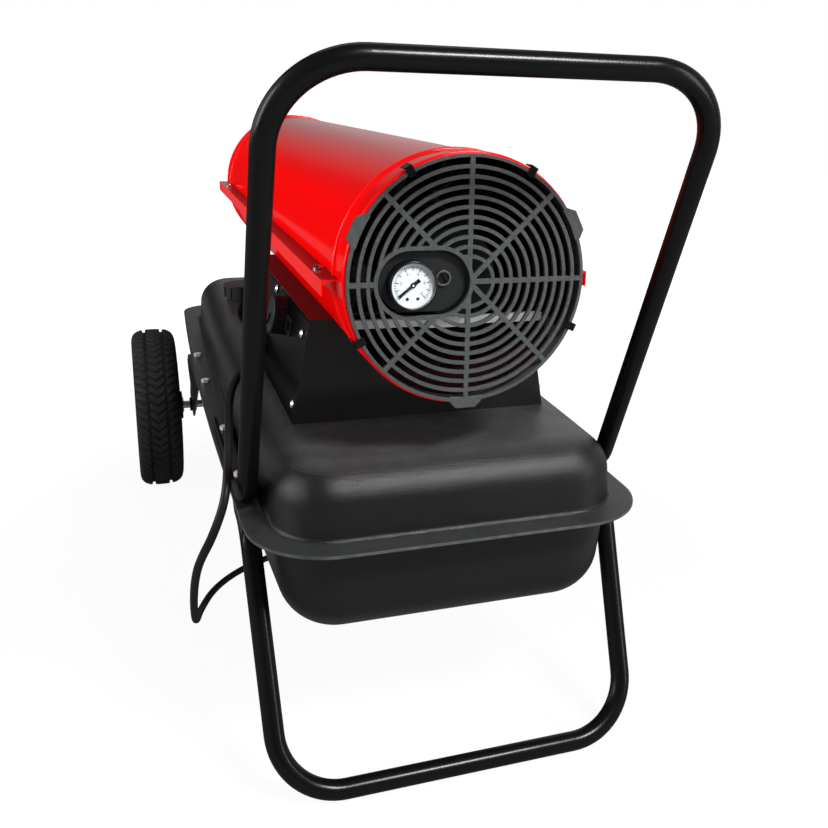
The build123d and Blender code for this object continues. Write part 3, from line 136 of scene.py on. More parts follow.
# What lights matt surfaces.
from_back = ramp(tree, side["Y"], (0.0, -1.0), (0.0, 2.0))
from_left = ramp(tree, side["X"], (0.0, -1.0), (0.0, 1.05))
low = ramp(tree, side["Z"], (0.0, 0.9), (1.0, 0.1))
all_round = 0.12
even = maths(tree, "MULTIPLY_ADD", maths(tree, "ADD", from_back, from_left), low, all_round)
fill = node(tree, "ShaderNodeBackground", {"Color": (0.95, 0.97, 1, 1), "Strength": even}).outputs[0]
either = node(tree, "ShaderNodeMixShader", {0: direct, 1: fill, 2: backdrop}).outputs[0]
node(tree, "ShaderNodeOutputWorld", {"Surface": either})

# The floor glows white to the camera.  Near the heater a quarter of it is matt and takes the shadow, and
# reflections find only a small share of the glow.
floor_mesh = bpy.data.meshes.new("floor")
floor_mesh.from_pydata([(-6, -6, 0), (6, -6, 0), (6, 6, 0), (-6, 6, 0)], [], [(0, 1, 2, 3)])
floor = put("floor", floor_mesh)
white = bpy.data.materials.new("white_floor")
white.use_nodes = True
tree = white.node_tree
tree.nodes.clear()
camera_ray, mirror_ray = ray_kinds(tree)
mirror_share = 0.12
direct = maths(tree, "MAXIMUM", camera_ray, maths(tree, "MULTIPLY", mirror_ray, mirror_share))
spot = node(tree, "ShaderNodeTexCoord").outputs["Object"]
away = node(tree, "ShaderNodeVectorMath", {0: spot}, operation="LENGTH").outputs["Value"]
lit = maths(tree, "MULTIPLY", direct, ramp(tree, away, (0.5, 1.6), (0.76, 1.0)))
matt = node(tree, "ShaderNodeBsdfDiffuse", {"Color": (0.18, 0.18, 0.18, 1)}).outputs[0]
glow = node(tree, "ShaderNodeEmission", {"Color": (1, 1, 1, 1), "Strength": 1.24}).outputs[0]
either = node(tree, "ShaderNodeMixShader", {0: lit, 1: matt, 2: glow}).outputs[0]
node(tree, "ShaderNodeOutputMaterial", {"Surface": either})
floor_mesh.materials.append(white)


def soft_box(name, place, aim, wide, high, watts):
    """A rectangular lamp at a place, facing a point."""
    lamp = bpy.data.lights.new(name, "AREA")
    lamp.shape = "RECTANGLE"
    lamp.size = wide
    lamp.size_y = high
    lamp.energy = watts
    holder = put(name, lamp)
    holder.location = place
    holder.rotation_euler = (Vector(aim) - Vector(place)).to_track_quat("-Z", "Y").to_euler()


soft_box("box_over_camera", (0.62, -1.75, 1.95), (0, -0.35, 0.3), 0.6, 0.3, 66)
soft_box("box_left", (-2.1, -0.2, 1.0), (-0.1, -0.1, 0.4), 0.5, 1.2, 24)
soft_box("strip_right", (1.5, -1.5, 0.75), (0, -0.3, 0.4), 0.22, 1.4, 11)
soft_box("box_top", (0.1, 0.8, 2.3), (0, 0.1, 0.5), 1.4, 0.6, 4)

# --------------------------------------------------------------------------------------- mains lead
# A black rubber lead, 8.5 mm thick, clamped in the pedestal's left side.  It hangs past the handle's
# foot to the floor, where the spare length is wound into a coil under the tank, with the plug on it.


def noise(tree, place, scale, detail, roughness=0.5):
    """Smooth noise from 0 to 1, scale to the metre, with that many steps of finer detail."""
    return node(tree, "ShaderNodeTexNoise", {"Vector": place, "Scale": scale, "Detail": detail,
                                             "Roughness": roughness}).outputs[0]


def mix(tree, share, first, second, **settings):
    """A colour between two: the first where the share is 0, and the second where it is 1."""
    return node(tree, "ShaderNodeMix", {"Factor": share, 6: first, 7: second}, data_type="RGBA",
                **settings).outputs[2]


def finish(name, colour, gloss, cloud=0.06, patch=0.06, grain=0.0, relief=0.0, metal=0.0, lacquer=0.4,
           edge=0.0):
    """A surface that varies as a real one does, from noise on object coordinates in metres.

    Tone is the colour times 1 +- cloud in patches of that size, roughness is gloss +- 12 % in patches a
    third as large, and where there is a grain, noise of that size stands out by the relief.  What isn't
    metal has its gloss from a thin lacquer on top.  A grained surface may have its sharp edges shaded as
    if rounded by edge.  The nodes place and tone are there for more layers."""
    made = bpy.data.materials.new(name)
    made.use_nodes = True
    tree = made.node_tree
    paint = tree.nodes["Principled BSDF"].inputs
    place = node(tree, "ShaderNodeTexCoord", name="place").outputs["Object"]
    dark = [channel * (1 - cloud) for channel in colour]
    pale = [min(1.0, channel * (1 + cloud)) for channel in colour]
    tone = mix(tree, noise(tree, place, 1 / patch, 3.0), (*dark, 1), (*pale, 1), name="tone")
    tree.links.new(tone, paint["Base Color"])
    rough = ramp(tree, noise(tree, place, 3 / patch, 2.0), (0.3, 0.7), (gloss * 0.88, gloss * 1.12))
    tree.links.new(rough, paint["Roughness"])
    paint["Metallic"].default_value = metal
    if not metal:
        paint["Specular IOR Level"].default_value = 0.0
        paint["Coat Weight"].default_value = lacquer
        paint["Coat Roughness"].default_value = gloss
    if grain:
        grains = noise(tree, place, 1 / grain, 2.0)
        bump = node(tree, "ShaderNodeBump", {"Height": grains, "Distance": relief})
        if edge:
            rounded = node(tree, "ShaderNodeBevel", {"Radius": edge}, samples=4)
            tree.links.new(rounded.outputs[0], bump.inputs["Normal"])
        tree.links.new(bump.outputs[0], paint["Normal"])
        tree.links.new(bump.outputs[0], paint["Coat Normal"])
    return made


def dress(paint, *nodes):
    """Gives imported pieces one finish."""
    for name in nodes:
        mesh = heater[name].data
        mesh.materials.clear()
        mesh.materials.append(paint)


cord_rubber = finish("cord_rubber", (0.009, 0.009, 0.0095), 0.38, cloud=0.15, patch=0.03, grain=0.0012,
                     relief=0.00008, lacquer=0.3)
dress(cord_rubber, "strain_relief", "power_plug")

# The points of lead, tank and gauge are in millimetres, with y = 0 on the face of the rear guard, so that
# the heater's middle is at middle_y.
middle_y = 449.625
on_floor = 4.25
cord_radius = on_floor / 1000
# The hanging length, from the clamp to the floor and in to the coil.
hang = np.array([
    (-143.93, 327.62, 336.88), (-166.5, 299.0, 323.0), (-180, 255, 317), (-188, 205, 314),
    (-193, 152, 309), (-199, 108, 298), (-205, 76, 270), (-219, 72, 234), (-231, 101, 195),
    (-234, 148, 150), (-234, 198, 100), (-232, 246, 54), (-228, 296, 17), (-220, 346, on_floor),
    (-200, 394, on_floor), (-166, 434, on_floor), (-120, 464, on_floor), (-64, 486, on_floor),
    (-8.5, 486, on_floor),
])
# The coil by quarter turns: in by a quarter of the pitch each, up a layer in the fifth and sixth, out
# again, and in the last two up to the plug.  A curve of order 3 touches the middles of the lines between
# its points.  These are 30 degrees apart, so they stand 3.5 % farther out than the lead.
quarters = np.arange(13)
turn_radius = np.array([54, 51.65, 49.3, 46.95, 44.6, 42.0, 43.1, 45.45, 47.8, 50.15, 52.5, 54.85, 57.2])
turn_height = np.array([on_floor] * 5 + [8.95] + [13.65] * 5 + [16.575, 19.5])
coil_y = 540
steps = np.arange(0, 12.01, 1 / 3)
around = np.radians(-90 + 90 * steps)
spread = np.interp(steps, quarters, turn_radius) * 1.035
coil = np.stack([spread * np.cos(around), coil_y + spread * np.sin(around),
                 np.interp(steps, quarters, turn_height)], axis=1)
tail = np.array([(14, 482.8, 19.5), (40, 482.8, 19.5)])
route = (np.concatenate([hang, coil[1:], tail]) + (0, -middle_y, 0)) / 1000
line = bpy.data.curves.new("mains_lead", "CURVE")
line.dimensions = "3D"
line.bevel_depth = cord_radius
line.bevel_resolution = 5
line.resolution_u = 8
line.use_fill_caps = True
strand = line.splines.new("NURBS")
strand.points.add(len(route) - 1)
strand.points.foreach_set("co", np.column_stack([route, np.ones(len(route))]).ravel())
strand.order_u = 3
strand.use_endpoint_u = True
line.materials.append(cord_rubber)
lead = put("mains_lead", line)
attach(lead, "chassis")
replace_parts(lead, "power_cord", "cord_coil")

# --------------------------------------------------------------------------------------------- tank
# Two drawn sheet-steel shells, welded at a flat flange and painted with a grained black that breaks
# the light up into fine specks.  Dust lies in drifts on what faces up, heavier on the top than the
# flange, and that paler top is partly painted light, lifting the shade the casing casts on it.


def layers(paint):
    """A finish's node tree, its place and its tone, to lay dirt, painted light or shade, or a second
    colour over them.
    """
    tree = paint.node_tree
    return tree, tree.nodes["place"].outputs["Object"], tree.nodes["tone"].outputs[2]


def recolour(tree, colour):
    """Gives a finish a colour in place of its plain tone."""
    tree.links.new(colour, tree.nodes["Principled BSDF"].inputs["Base Color"])


def faces_up(tree, normal, over, most=1.0):
    """From 0 to the most, while the Z of that normal crosses a range."""
    outwards = node(tree, "ShaderNodeNewGeometry").outputs[normal]
    upwards = node(tree, "ShaderNodeSeparateXYZ", {"Vector": outwards}).outputs["Z"]
    return ramp(tree, upwards, over, (0.0, most))


seam_height = 250.0
tank_paint = finish("tank_paint", (0.0062, 0.0066, 0.0067), 0.27, cloud=0.15, patch=0.09, grain=0.0011,
                    relief=0.0005, lacquer=0.56)
tree, place, black = layers(tank_paint)
height = node(tree, "ShaderNodeSeparateXYZ", {"Vector": place}).outputs["Z"]
# Paler dust on faces that point up, heavier on the flat top: partly real dust, partly painted light on the
# top.
dust_and_painted_light = maths(tree, "MULTIPLY", faces_up(tree, "True Normal", (0.75, 1.0)),
                ramp(tree, height, (0.255, 0.31), (0.6, 1.25)))
dust_and_painted_light_spots = maths(tree, "MULTIPLY", dust_and_painted_light, noise(tree, place, 14.0, 10.0, 0.85))
dusted_and_painted_light = mix(tree, dust_and_painted_light_spots, black, (0.058, 0.062, 0.061, 1))
# The two sheets' rims, within 1.4 mm of the seam, are painted paler, more so in places: a painted
# highlight along the flange's edge.
at_seam = maths(tree, "COMPARE", height, seam_height / 1000, 0.0014)
seam_highlight_patches = ramp(tree, noise(tree, place, 60.0, 6.0), (0.3, 0.8), (0.25, 1.0))
painted_seam_highlight = maths(tree, "MULTIPLY", at_seam, seam_highlight_patches)
recolour(tree, mix(tree, painted_seam_highlight, dusted_and_painted_light, (0.085, 0.088, 0.088, 1)))


def plan(rear_half, widest_half, front_half, rear_y, front_y, rear_corner, front_corner):
    """The tank's outline: points (n, 2) and outward directions (n, 2), anticlockwise from the rear.

    A straight rear end, a side that follows the circle through its rear, widest and front points, a
    straight front end, and the same back on the left.  A corner of radius r has its centre r inside the
    end and R - r from the centre of the side's circle, whose radius is R."""
    widest_y = 420.0
    rear, wide = Vector((rear_half, rear_y)), Vector((widest_half, widest_y))
    one, two = wide - rear, Vector((front_half, front_y)) - rear
    bulge = 2 * (one.x * two.y - one.y * two.x)
    centre = rear + Vector((two.y * one.dot(one) - one.y * two.dot(two),
                            one.x * two.dot(two) - two.x * one.dot(one))) / bulge
    side_radius = (wide - centre).length
    ends = []
    for end_y, facing, corner in ((rear_y, -1, rear_corner), (front_y, 1, front_corner)):
        corner_y = end_y - facing * corner
        lift = corner_y - centre.y
        corner_x = centre.x + ((side_radius - corner) ** 2 - lift ** 2) ** 0.5
        leave = np.arctan2(lift, corner_x - centre.x)
        turn = np.linspace(facing * np.pi / 2, leave, 20)
        outwards = np.column_stack([np.cos(turn), np.sin(turn)])
        straight = np.column_stack([np.linspace(0, corner_x, 12)[:-1], np.full(11, end_y)])
        square = np.tile((0.0, float(facing)), (11, 1))
        ends.append((np.concatenate([straight, (corner_x, corner_y) + corner * outwards]),
                     np.concatenate([square, outwards]), leave))
    swing = np.linspace(ends[0][2], ends[1][2], 72)[1:-1]
    outwards = np.column_stack([np.cos(swing), np.sin(swing)])
    points = np.concatenate([ends[0][0], np.array(centre) + side_radius * outwards, ends[1][0][::-1]])
    normals = np.concatenate([ends[0][1], outwards, ends[1][1][::-1]])
    back = slice(-2, 0, -1)
    return (np.concatenate([points, points[back] * (-1, 1)]),
            np.concatenate([normals, normals[back] * (-1, 1)]))


def quads(rows, columns):
    """The faces (rows, columns, 4) of a grid of points that runs round in a ring both ways."""
    at = np.arange(rows * columns).reshape(rows, columns)
    below = np.roll(at, -1, axis=0)
    return np.stack([at, np.roll(at, -1, axis=1), np.roll(below, -1, axis=1), below], axis=-1)


def skinned(name, grid, faces, paint):
    """A smooth piece from a grid of points (rows, columns, 3) in metres, and its faces."""
    mesh = bpy.data.meshes.new(name)
    mesh.from_pydata(grid.reshape(-1, 3).tolist(), [], faces)
    mesh.shade_smooth()
    mesh.materials.append(paint)
    return put(name, mesh)


def drawn_shell(name, side, height, draft, corner, edge):
    """One half of the tank, closed inside and out: side is 1 above the seam plane and -1 below it.

    Each row is the plan drawn in by a distance and lifted to a height: the seam face, the flange's
    rounded edge and top, a 5 mm hollow curve into the wall, the wall at its draft in degrees, and a
    quarter round of radius edge onto the flat.  The inner skin lies 1.5 mm inside.  The corner is the
    radius of the wall's corners in plan."""
    sheet, hollow = 1.5, 5.0
    # The flange's rim, and inside it the foot of the wall.
    rim, rim_out = plan(191, 199.8, 188, -32.4, 1000.0, 77, 50)
    wall, wall_out = plan(167, 175.8, 164, -8.4, 945.0, corner, corner)
    lean = radians(draft)
    slope = np.tan(lean)

    def skin(inset, thick):
        """Rows (inset, height) of the quarter round, thick inside the outer skin."""
        top = height - thick
        bend = edge - thick
        start = top - bend * (1 - np.sin(lean))
        middle = inset + start * slope + bend * np.cos(lean)
        turn = np.linspace(0, radians(90 - draft), 15) + lean
        return np.column_stack([middle - bend * np.cos(turn), top - bend + bend * np.sin(turn)])

    def rows(points, normals, profile):
        """The plan drawn in by each row's first number and lifted by its second."""
        flat = points[None] - profile[:, 0, None, None] * normals[None]
        lifts = np.broadcast_to(profile[:, 1, None, None], (*flat.shape[:2], 1))
        return np.concatenate([flat, lifts], axis=2)

    lip = np.array([(0.5, 0.0), (0.15, 0.2), (0.0, 0.6), (0.0, 0.9), (0.15, 1.3), (0.5, sheet),
                    (4.0, sheet)])
    curve = np.linspace(0, np.pi / 2, 8)
    foot = np.column_stack([-hollow * (1 - np.sin(curve)), sheet + hollow * (1 - np.cos(curve))])
    foot[:, 0] += foot[:, 1] * slope
    grid = np.concatenate([
        rows(wall, wall_out, skin(sheet, sheet))[::-1],
        rows(wall, wall_out, np.array([(sheet, 0.0)])),
        rows(rim, rim_out, lip),
        rows(wall, wall_out, foot),
        rows(wall, wall_out, skin(0, 0)),
    ])
    grid[..., 2] = seam_height + side * grid[..., 2]
    grid[..., 1] -= middle_y
    count, length = grid.shape[:2]
    inner_flat = list(range(length))[::-1]
    outer_flat = list(range((count - 1) * length, count * length))
    faces = quads(count, length)[:-1].reshape(-1, 4).tolist() + [inner_flat, outer_flat]
    made = skinned(name, grid / 1000, faces, tank_paint)
    if side < 0:
        made.data.flip_normals()
    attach(made, "chassis")
    return made


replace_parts(drawn_shell("tank_top", 1, 67.0, 4.0, 56.0, 38.0), "tank_upper_half")
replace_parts(drawn_shell("tank_pan", -1, 105.5, 5.0, 62.0, 52.0), "tank_lower_half")
zinc = finish("zinc", (0.72, 0.72, 0.7), 0.3, cloud=0.06, patch=0.05, grain=0.0006, relief=0.00002,
              metal=0.6)
dress(zinc, "drain_plug")

# --------------------------------------------------------------------------------------- tube frame
# Two bent loops of 19 mm steel tube with flattened feet, bolted through the tank's flange: the handle
# above and the leg below.  Smooth black powder coat.
frame_paint = finish("frame_paint", (0.003, 0.0031, 0.0032), 0.24, cloud=0.08, patch=0.12, grain=0.0018,
                     relief=0.00004, lacquer=0.36)
dress(frame_paint, "rear_handle", "rear_leg")
dress(zinc, "frame_bolts", "frame_nuts")

# ------------------------------------------------------------------------------------ wheels and axle
# Solid 254 mm rubber tyres on moulded black rims, on a plain 12 mm axle that two pressed brackets
# carry under the flange.
dress(frame_paint, "wheel_bracket_left", "wheel_bracket_right")
dress(zinc, "axle", "axle_washers", "cotter_pins")
rim_plastic = finish("rim_plastic", (0.013, 0.013, 0.0135), 0.48, cloud=0.1, patch=0.04, grain=0.0009,
                     relief=0.00004, lacquer=0.3)
dress(rim_plastic, "wheel_rim_left", "wheel_rim_right")
tyre_rubber = finish("tyre_rubber", (0.0145, 0.0145, 0.015), 0.55, cloud=0.3, patch=0.02, grain=0.0014,
                     relief=0.00008, lacquer=0.2)
wheel_x, axle_y, axle_z = 0.2476, 0.354975, 0.127
tyre_radius, bead_radius = 127.0, 63.9
tread_cells = 60


def wrapped(name, grid, paint):
    """A closed skin from a grid of points (n, m, 3) whose rows and columns both run round in a ring."""
    return skinned(name, grid, quads(*grid.shape[:2]).reshape(-1, 4).tolist(), paint)


def tyre_skin(middle_x):
    """A tyre: a cross-section of (across, radius) carried round the axle, with its tread cut in.

    The depth of cut at an angle and a distance across is the largest of: two grooves that run round at
    13 mm each side, with sides 0.6 mm wide; slanting cuts across the middle rib; and cuts across the
    shoulders, half a cell on from those, that slant away from the grooves and fade at both ends."""
    side = np.array([(-24, bead_radius), (-27.5, 68), (-31, 80), (-33, 92), (-33.4, 104), (-33.0, 111),
                     (-31.2, 117), (-27.6, 121.6), (-23, 124.3)])
    tread = np.linspace(-19.5, 19.5, 53)
    crown = np.column_stack([tread, tyre_radius - 1.9 * (tread / 23) ** 2])
    shoulder_x = np.linspace(-32.2, -23.6, 9)
    shoulder = np.column_stack([shoulder_x, np.interp(shoulder_x, side[5:, 0], side[5:, 1])])
    bead = np.column_stack([np.linspace(20, -20, 5), np.full(5, bead_radius)])
    section = np.concatenate([side[:6], shoulder, crown, shoulder[::-1] * (-1, 1),
                              side[5::-1] * (-1, 1), bead])
    across, radius = section[:, 0], section[:, 1]
    angle = np.linspace(0, 2 * np.pi, 1080, endpoint=False)[:, None]
    phase = angle / (2 * np.pi) * tread_cells
    reach = np.abs(across)[None, :]

    def cuts(position, width, depth):
        """Cuts of a depth in millimetres, centred on whole numbers; position and width are in cells."""
        away = np.abs(position - np.round(position))
        return depth * np.clip((width / 2 - away) / 0.08 + 0.5, 0, 1)

    groove_x, groove_half, groove_depth = 13.0, 2.2, 4.5
    groove = groove_depth * np.clip((groove_half - np.abs(reach - groove_x)) / 0.6 + 0.5, 0, 1)
    rib = cuts(phase + reach * 0.055, 0.22, 3.4) * (reach < 10.6)
    lug = (cuts(phase + 0.5 + reach * 0.045, 0.3, 3.8) * np.clip((reach - 15.0) / 0.8, 0, 1)
           * np.clip((33.6 - reach) / 2.2, 0, 1))
    on_tread = radius[None, :] > 108
    ring = radius[None, :] - np.maximum(np.maximum(groove, rib), lug) * on_tread
    return np.stack([middle_x * 1000 + across[None, :] + 0 * ring,
                     axle_y * 1000 + ring * np.cos(angle),
                     axle_z * 1000 + ring * np.sin(angle)], axis=-1) / 1000


for hand, middle_x in (("left", -wheel_x), ("right", wheel_x)):
    tyre = wrapped(f"tread_{hand}", tyre_skin(middle_x), tyre_rubber)
    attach(tyre, f"wheel_{hand}")
    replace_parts(tyre, f"tyre_{hand}")

# ------------------------------------------------------------------------------------------- casing
# A round shell in two halves of 1 mm sheet, joined by screws through flat seams, with a hem at each
# end and a pressed bead behind it.  Red powder coat with a wet shine, with painted shade on it: faces
# that point up are darker, and the inner face is near-black.
casing_paint = finish("casing_paint", (0.97, 0.0006, 0.001), 0.12, cloud=0.02, patch=0.2, grain=0.003,
                      relief=0.00002, lacquer=0.42)
casing_axis = (0, 0, 0.48)
mid_sheet = 0.108
tree, place, red = layers(casing_paint)
off_axis = node(tree, "ShaderNodeVectorMath", {0: place, 1: casing_axis}, operation="SUBTRACT").outputs[0]
across = node(tree, "ShaderNodeVectorMath", {0: off_axis, 1: (1, 0, 1)}, operation="MULTIPLY").outputs[0]
reach = node(tree, "ShaderNodeVectorMath", {0: across}, operation="LENGTH").outputs["Value"]
# Painted shade: the inner face, inside the sheet's middle radius, is near-black, and faces that point up
# are mixed towards a darker red.
outside = maths(tree, "GREATER_THAN", reach, mid_sheet)
painted_dark_top = mix(tree, faces_up(tree, "Normal", (0.5, 0.97), 0.9), red, (0.13, 0.01, 0.011, 1))
recolour(tree, mix(tree, outside, (0.03, 0.008, 0.008, 1), painted_dark_top))
dress(casing_paint, "upper_casing", "lower_casing")
nickel = finish("nickel", (0.66, 0.65, 0.63), 0.18, cloud=0.08, patch=0.006, metal=1.0)
dress(nickel, "cover_screws")

# ----------------------------------------------------------------------------------------- pedestal
# A folded sheet-steel box between tank and casing, with a screwed cover on each side.  Smooth black
# paint with more shine than the tank has.
pedestal_paint = finish("pedestal_paint", (0.0105, 0.0108, 0.011), 0.16, cloud=0.05, patch=0.15,
                        grain=0.003, relief=0.00001, lacquer=0.38, edge=0.0008)
dress(pedestal_paint, "pedestal_body")
cover_paint = finish("cover_paint", (0.0026, 0.0027, 0.0029), 0.2, cloud=0.05, patch=0.15, grain=0.003,
                     relief=0.00001, lacquer=0.2, edge=0.0008)
dress(cover_paint, "control_panel", "side_cover")

# --------------------------------------------------------------------------------------- rear guard
# A moulded grille of ten rings and eight spokes, pressed into the casing's end and held by small
# spring clips.
guard_plastic = finish("guard_plastic", (0.05, 0.053, 0.054), 0.36, cloud=0.6, patch=0.0022,
                       grain=0.0009, relief=0.00012, lacquer=0.6, edge=0.0005)
dress(guard_plastic, "rear_guard")
dress(frame_paint, "guard_clips")

# ---------------------------------------------------------------- pressure gauge and adjusting screw
# A 43 mm dial gauge and a slotted black screw in the pump's end cover, in the window of the guard.
# The gauge's glass lets the lamps through to the dial.
gauge_black = finish("gauge_black", (0.006, 0.006, 0.006), 0.22, cloud=0.05, patch=0.02, lacquer=0.6)
dial_white = finish("dial_white", (0.5, 0.525, 0.545), 0.4, cloud=0.03, patch=0.01)
cast_black = finish("cast_black", (0.013, 0.0138, 0.0142), 0.36, cloud=0.12, patch=0.012, grain=0.001,
                    relief=0.00006, lacquer=0.3, edge=0.0006)
clear = bpy.data.materials.new("clear")
clear.use_nodes = True
tree = clear.node_tree
glass = tree.nodes["Principled BSDF"]
glass.inputs["Base Color"].default_value = (1, 1, 1, 1)
glass.inputs["Transmission Weight"].default_value = 1.0
glass.inputs["Roughness"].default_value = 0.02
glass.inputs["IOR"].default_value = 1.2
lets_by = node(tree, "ShaderNodeBsdfTransparent").outputs[0]
shadow = node(tree, "ShaderNodeLightPath").outputs["Is Shadow Ray"]
pane = node(tree, "ShaderNodeMixShader", {0: shadow, 1: glass.outputs[0], 2: lets_by}).outputs[0]
tree.links.new(pane, tree.nodes["Material Output"].inputs["Surface"])
dress(gauge_black, "gauge_needle", "level_gauge_needle", "pressure_screw")
dress(dial_white, "gauge_dial")
dress(clear, "gauge_lens", "level_gauge_lens")
dress(cast_black, "pump_end_cover")


def lathed(name, profile, paint, turn, count=96):
    """A turned ring: (radius, height) points in millimetres, closed, carried round +Z and then placed.

    The point at an angle is (radius cos, radius sin, height)."""
    angle = np.linspace(0, 2 * np.pi, count, endpoint=False)[:, None]
    radius, height = np.array(profile)[::-1].T / 1000
    grid = np.stack([radius * np.cos(angle), radius * np.sin(angle), height + 0 * angle], axis=-1)
    made = wrapped(name, grid, paint)
    made.data.transform(turn)
    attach(made, "chassis")
    return made


# The gauge's case is turned from steel: a rounded bezel, a wall 1.5 mm thick, and the stem behind.
face_rear = Matrix.Rotation(radians(90), 4, "X")
on_gauge = Matrix.Translation((-0.051, -middle_y / 1000, 0.479)) @ face_rear
bezel_turn = np.radians(np.linspace(0, 180, 13))
bezel = np.column_stack([20.3 + np.cos(bezel_turn), 5.0 + np.sin(bezel_turn)])
case_profile = [(0.02, -16), (6, -16), (6, -7), (19.8, -7), (21.1, -6.6), (21.3, -5.8), *bezel,
                (19.3, 4.2), (19.8, 3.9), (19.8, -1), (0.02, -1)]
gauge_shell = lathed("gauge_shell", case_profile, gauge_black, on_gauge)
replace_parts(gauge_shell, "gauge_case")

# The dial's print: 50 steps round three quarters of a turn, a long line at every fifth, numbers from 0
# to 10 at every tenth, and the two rivet heads at the bottom.
dial_ink = finish("dial_ink", (0.012, 0.012, 0.013), 0.5, cloud=0.05, patch=0.002, lacquer=0.1)


def print_marks(name, count, sweep, inner, outer, wide, middle, long_every, paint):
    """Printed lines: rectangles from an inner to an outer radius, spread evenly over a sweep of angle.

    Line k stands at the angle 90 + sweep/2 - k sweep/(count - 1) degrees; every so many it is 1.9 times
    as long and as wide.  They lie in the XY plane, facing +Z."""
    index = np.arange(count)
    angle = np.radians(90 + sweep / 2 - index * sweep / (count - 1))
    major = (index % long_every == 0).astype(float)
    start = inner - (outer - inner) * 0.9 * major
    half = wide / 2 * (1 + 0.9 * major)
    along = np.stack([np.cos(angle), np.sin(angle)], axis=-1)
    across = np.stack([-np.sin(angle), np.cos(angle)], axis=-1)
    corners = np.stack([along * start[:, None] - across * half[:, None],
                        along * outer - across * half[:, None],
                        along * outer + across * half[:, None],
                        along * start[:, None] + across * half[:, None]], axis=1)
    points = np.concatenate([corners.reshape(-1, 2), np.zeros((4 * count, 1))], axis=1) / 1000
    mesh = bpy.data.meshes.new(name)
    mesh.from_pydata(points.tolist(), [], np.arange(4 * count).reshape(-1, 4).tolist())
    mesh.materials.append(paint)
    mesh.transform(middle)
    return put(name, mesh)


def print_number(name, text, size, at, middle, paint):
    """A printed number, centred on a point of the XY plane, as a flat mesh."""
    letters = bpy.data.curves.new(name, "FONT")
    letters.body = text
    letters.size = size / 1000
    letters.align_x = "CENTER"
    letters.align_y = "CENTER"
    flat = put(name, letters)
    bpy.context.view_layer.update()
    mesh = bpy.data.meshes.new_from_object(flat.evaluated_get(bpy.context.evaluated_depsgraph_get()))
    bpy.data.objects.remove(flat)
    mesh.materials.clear()
    mesh.materials.append(paint)
    mesh.transform(middle @ Matrix.Translation((at[0] / 1000, at[1] / 1000, 0)))
    return put(name, mesh)


# The print lies 0.08 mm in front of the dial's face.
print_height = 0.00108
on_dial = on_gauge @ Matrix.Translation((0, 0, print_height))
marks = [print_marks("dial_lines", 51, 270, 14.4, 16.6, 0.4, on_dial, 5, dial_ink)]
number_radius = 10.4
for step in range(6):
    angle = radians(225 - 54 * step)
    at = (number_radius * cos(angle), number_radius * sin(angle))
    marks.append(print_number(f"dial_number_{step}", str(2 * step), 3.9, at, on_dial, dial_ink))
for mark in marks:
    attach(mark, "chassis")
rivet_profile = [(0.02, 0.9), (0.5, 0.88), (0.9, 1.2), (1.25, 1.25), (1.45, 1.0), (1.45, 0.6), (0.02, 0.6)]
for hand, across in (("left", -0.0046), ("right", 0.0046)):
    rivet = lathed(f"dial_rivet_{hand}", rivet_profile, gauge_black,
                   on_gauge @ Matrix.Translation((across, -0.0118, 0.0003)), 24)

# A raised ring stands round the screw, on the face of its boss.  The screw is sunk 1 mm into that.
low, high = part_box("pressure_screw")
screw_face = Vector(((low.x + high.x) / 2, low.y - 0.001, (low.z + high.z) / 2))
ring_profile = [(5.2, -0.3), (7.0, -0.3), (7.0, 0.35), (6.7, 0.6), (5.6, 0.6), (5.2, 0.35)]
screw_ring = lathed("screw_ring", ring_profile, guard_plastic,
                    Matrix.Translation(screw_face) @ face_rear, 64)

# ---------------------------------------------------------------------------- fan, motor and pump
# Behind the guard: a pressed aluminium fan on the shaft of an enamelled motor, and the cast vane pump.
# The spark transformer has the motor's enamel.
aluminium = finish("aluminium", (0.75, 0.75, 0.77), 0.22, cloud=0.08, patch=0.02, grain=0.001,
                   relief=0.00002, metal=1.0)
motor_paint = finish("motor_paint", (0.008, 0.008, 0.009), 0.4, cloud=0.1, patch=0.02, grain=0.001,
                     relief=0.00004)
dress(aluminium, "fan")
dress(cast_black, "pump_body", "pump_rotor")
dress(motor_paint, "motor_body", "ignition_transformer")
dress(zinc, "motor_shaft")
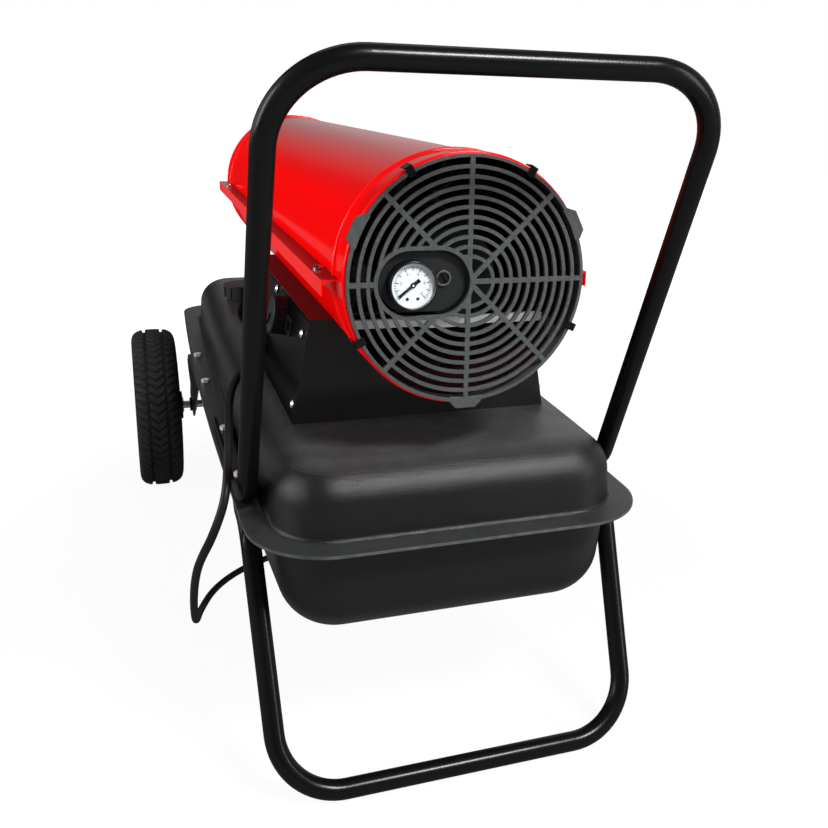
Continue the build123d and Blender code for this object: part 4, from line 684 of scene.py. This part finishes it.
# The cross bar in front of the pump is dull zinc, and the shelf and strap behind it are near-black,
# a painted shade for the dark inside of the casing.
bracket_steel = finish("bracket_steel", (0.82, 0.82, 0.8), 0.32, cloud=0.06, patch=0.05, grain=0.0006,
                       relief=0.00002, metal=1.0)
behind_bar = -0.3893
tree, place, zinc_tone = layers(bracket_steel)
depth = node(tree, "ShaderNodeSeparateXYZ", {"Vector": place}).outputs["Y"]
# Painted shade: everything behind the bar is near-black and not metallic.
painted_shade_behind_bar = maths(tree, "GREATER_THAN", depth, behind_bar)
recolour(tree, mix(tree, painted_shade_behind_bar, zinc_tone, (0.012, 0.012, 0.013, 1)))
bare = ramp(tree, painted_shade_behind_bar, (0.0, 1.0), (0.35, 0.0))
tree.links.new(bare, tree.nodes["Principled BSDF"].inputs["Metallic"])
dress(bracket_steel, "motor_bracket")

# ------------------------------------------------------------------------------- burner and outlet
# Chamber, cone and burner head are heat-proof steel, patchy from the heat, and the nozzle is brass.  The
# spark electrode and the photocell are white ceramic.
chamber_steel = finish("chamber_steel", (0.36, 0.34, 0.31), 0.38, cloud=0.25, patch=0.05, grain=0.001,
                       relief=0.00003, metal=1.0)
brass = finish("brass", (0.5, 0.36, 0.14), 0.35, cloud=0.1, patch=0.004, grain=0.0006, relief=0.00003,
               metal=1.0)
ceramic = finish("ceramic", (0.75, 0.72, 0.66), 0.25, cloud=0.04, patch=0.01)
dress(chamber_steel, "combustion_chamber", "outlet_cone", "burner_head")
dress(brass, "fuel_nozzle")
dress(ceramic, "spark_electrode", "photocell")

# ------------------------------------------------------------------- filler, cap and level gauge
# Moulded black plastic on the left of the tank's top: the filler's neck with its strainer and
# quarter-turn cap, and the float gauge's body with the float below it.
filler_plastic = finish("filler_plastic", (0.014, 0.014, 0.0145), 0.4, cloud=0.1, patch=0.02,
                        grain=0.0008, relief=0.00004)
dress(filler_plastic, "filler_neck", "fuel_cap", "level_gauge_body", "fuel_float", "filler_strainer")

# ----------------------------------------------------------------------------------------- controls
# Moulded thermostat knob and rocker switch on the left cover, with the board behind them.  The air hose
# and the fuel line are of the lead's rubber.
control_plastic = finish("control_plastic", (0.007, 0.007, 0.0075), 0.3, cloud=0.08, patch=0.01,
                         grain=0.0007, relief=0.00003)
board_green = finish("board_green", (0.02, 0.16, 0.05), 0.4, cloud=0.1, patch=0.01)
dress(control_plastic, "thermostat_knob", "switch_housing", "power_switch")
dress(board_green, "control_board")
dress(cord_rubber, "air_hose", "fuel_line")
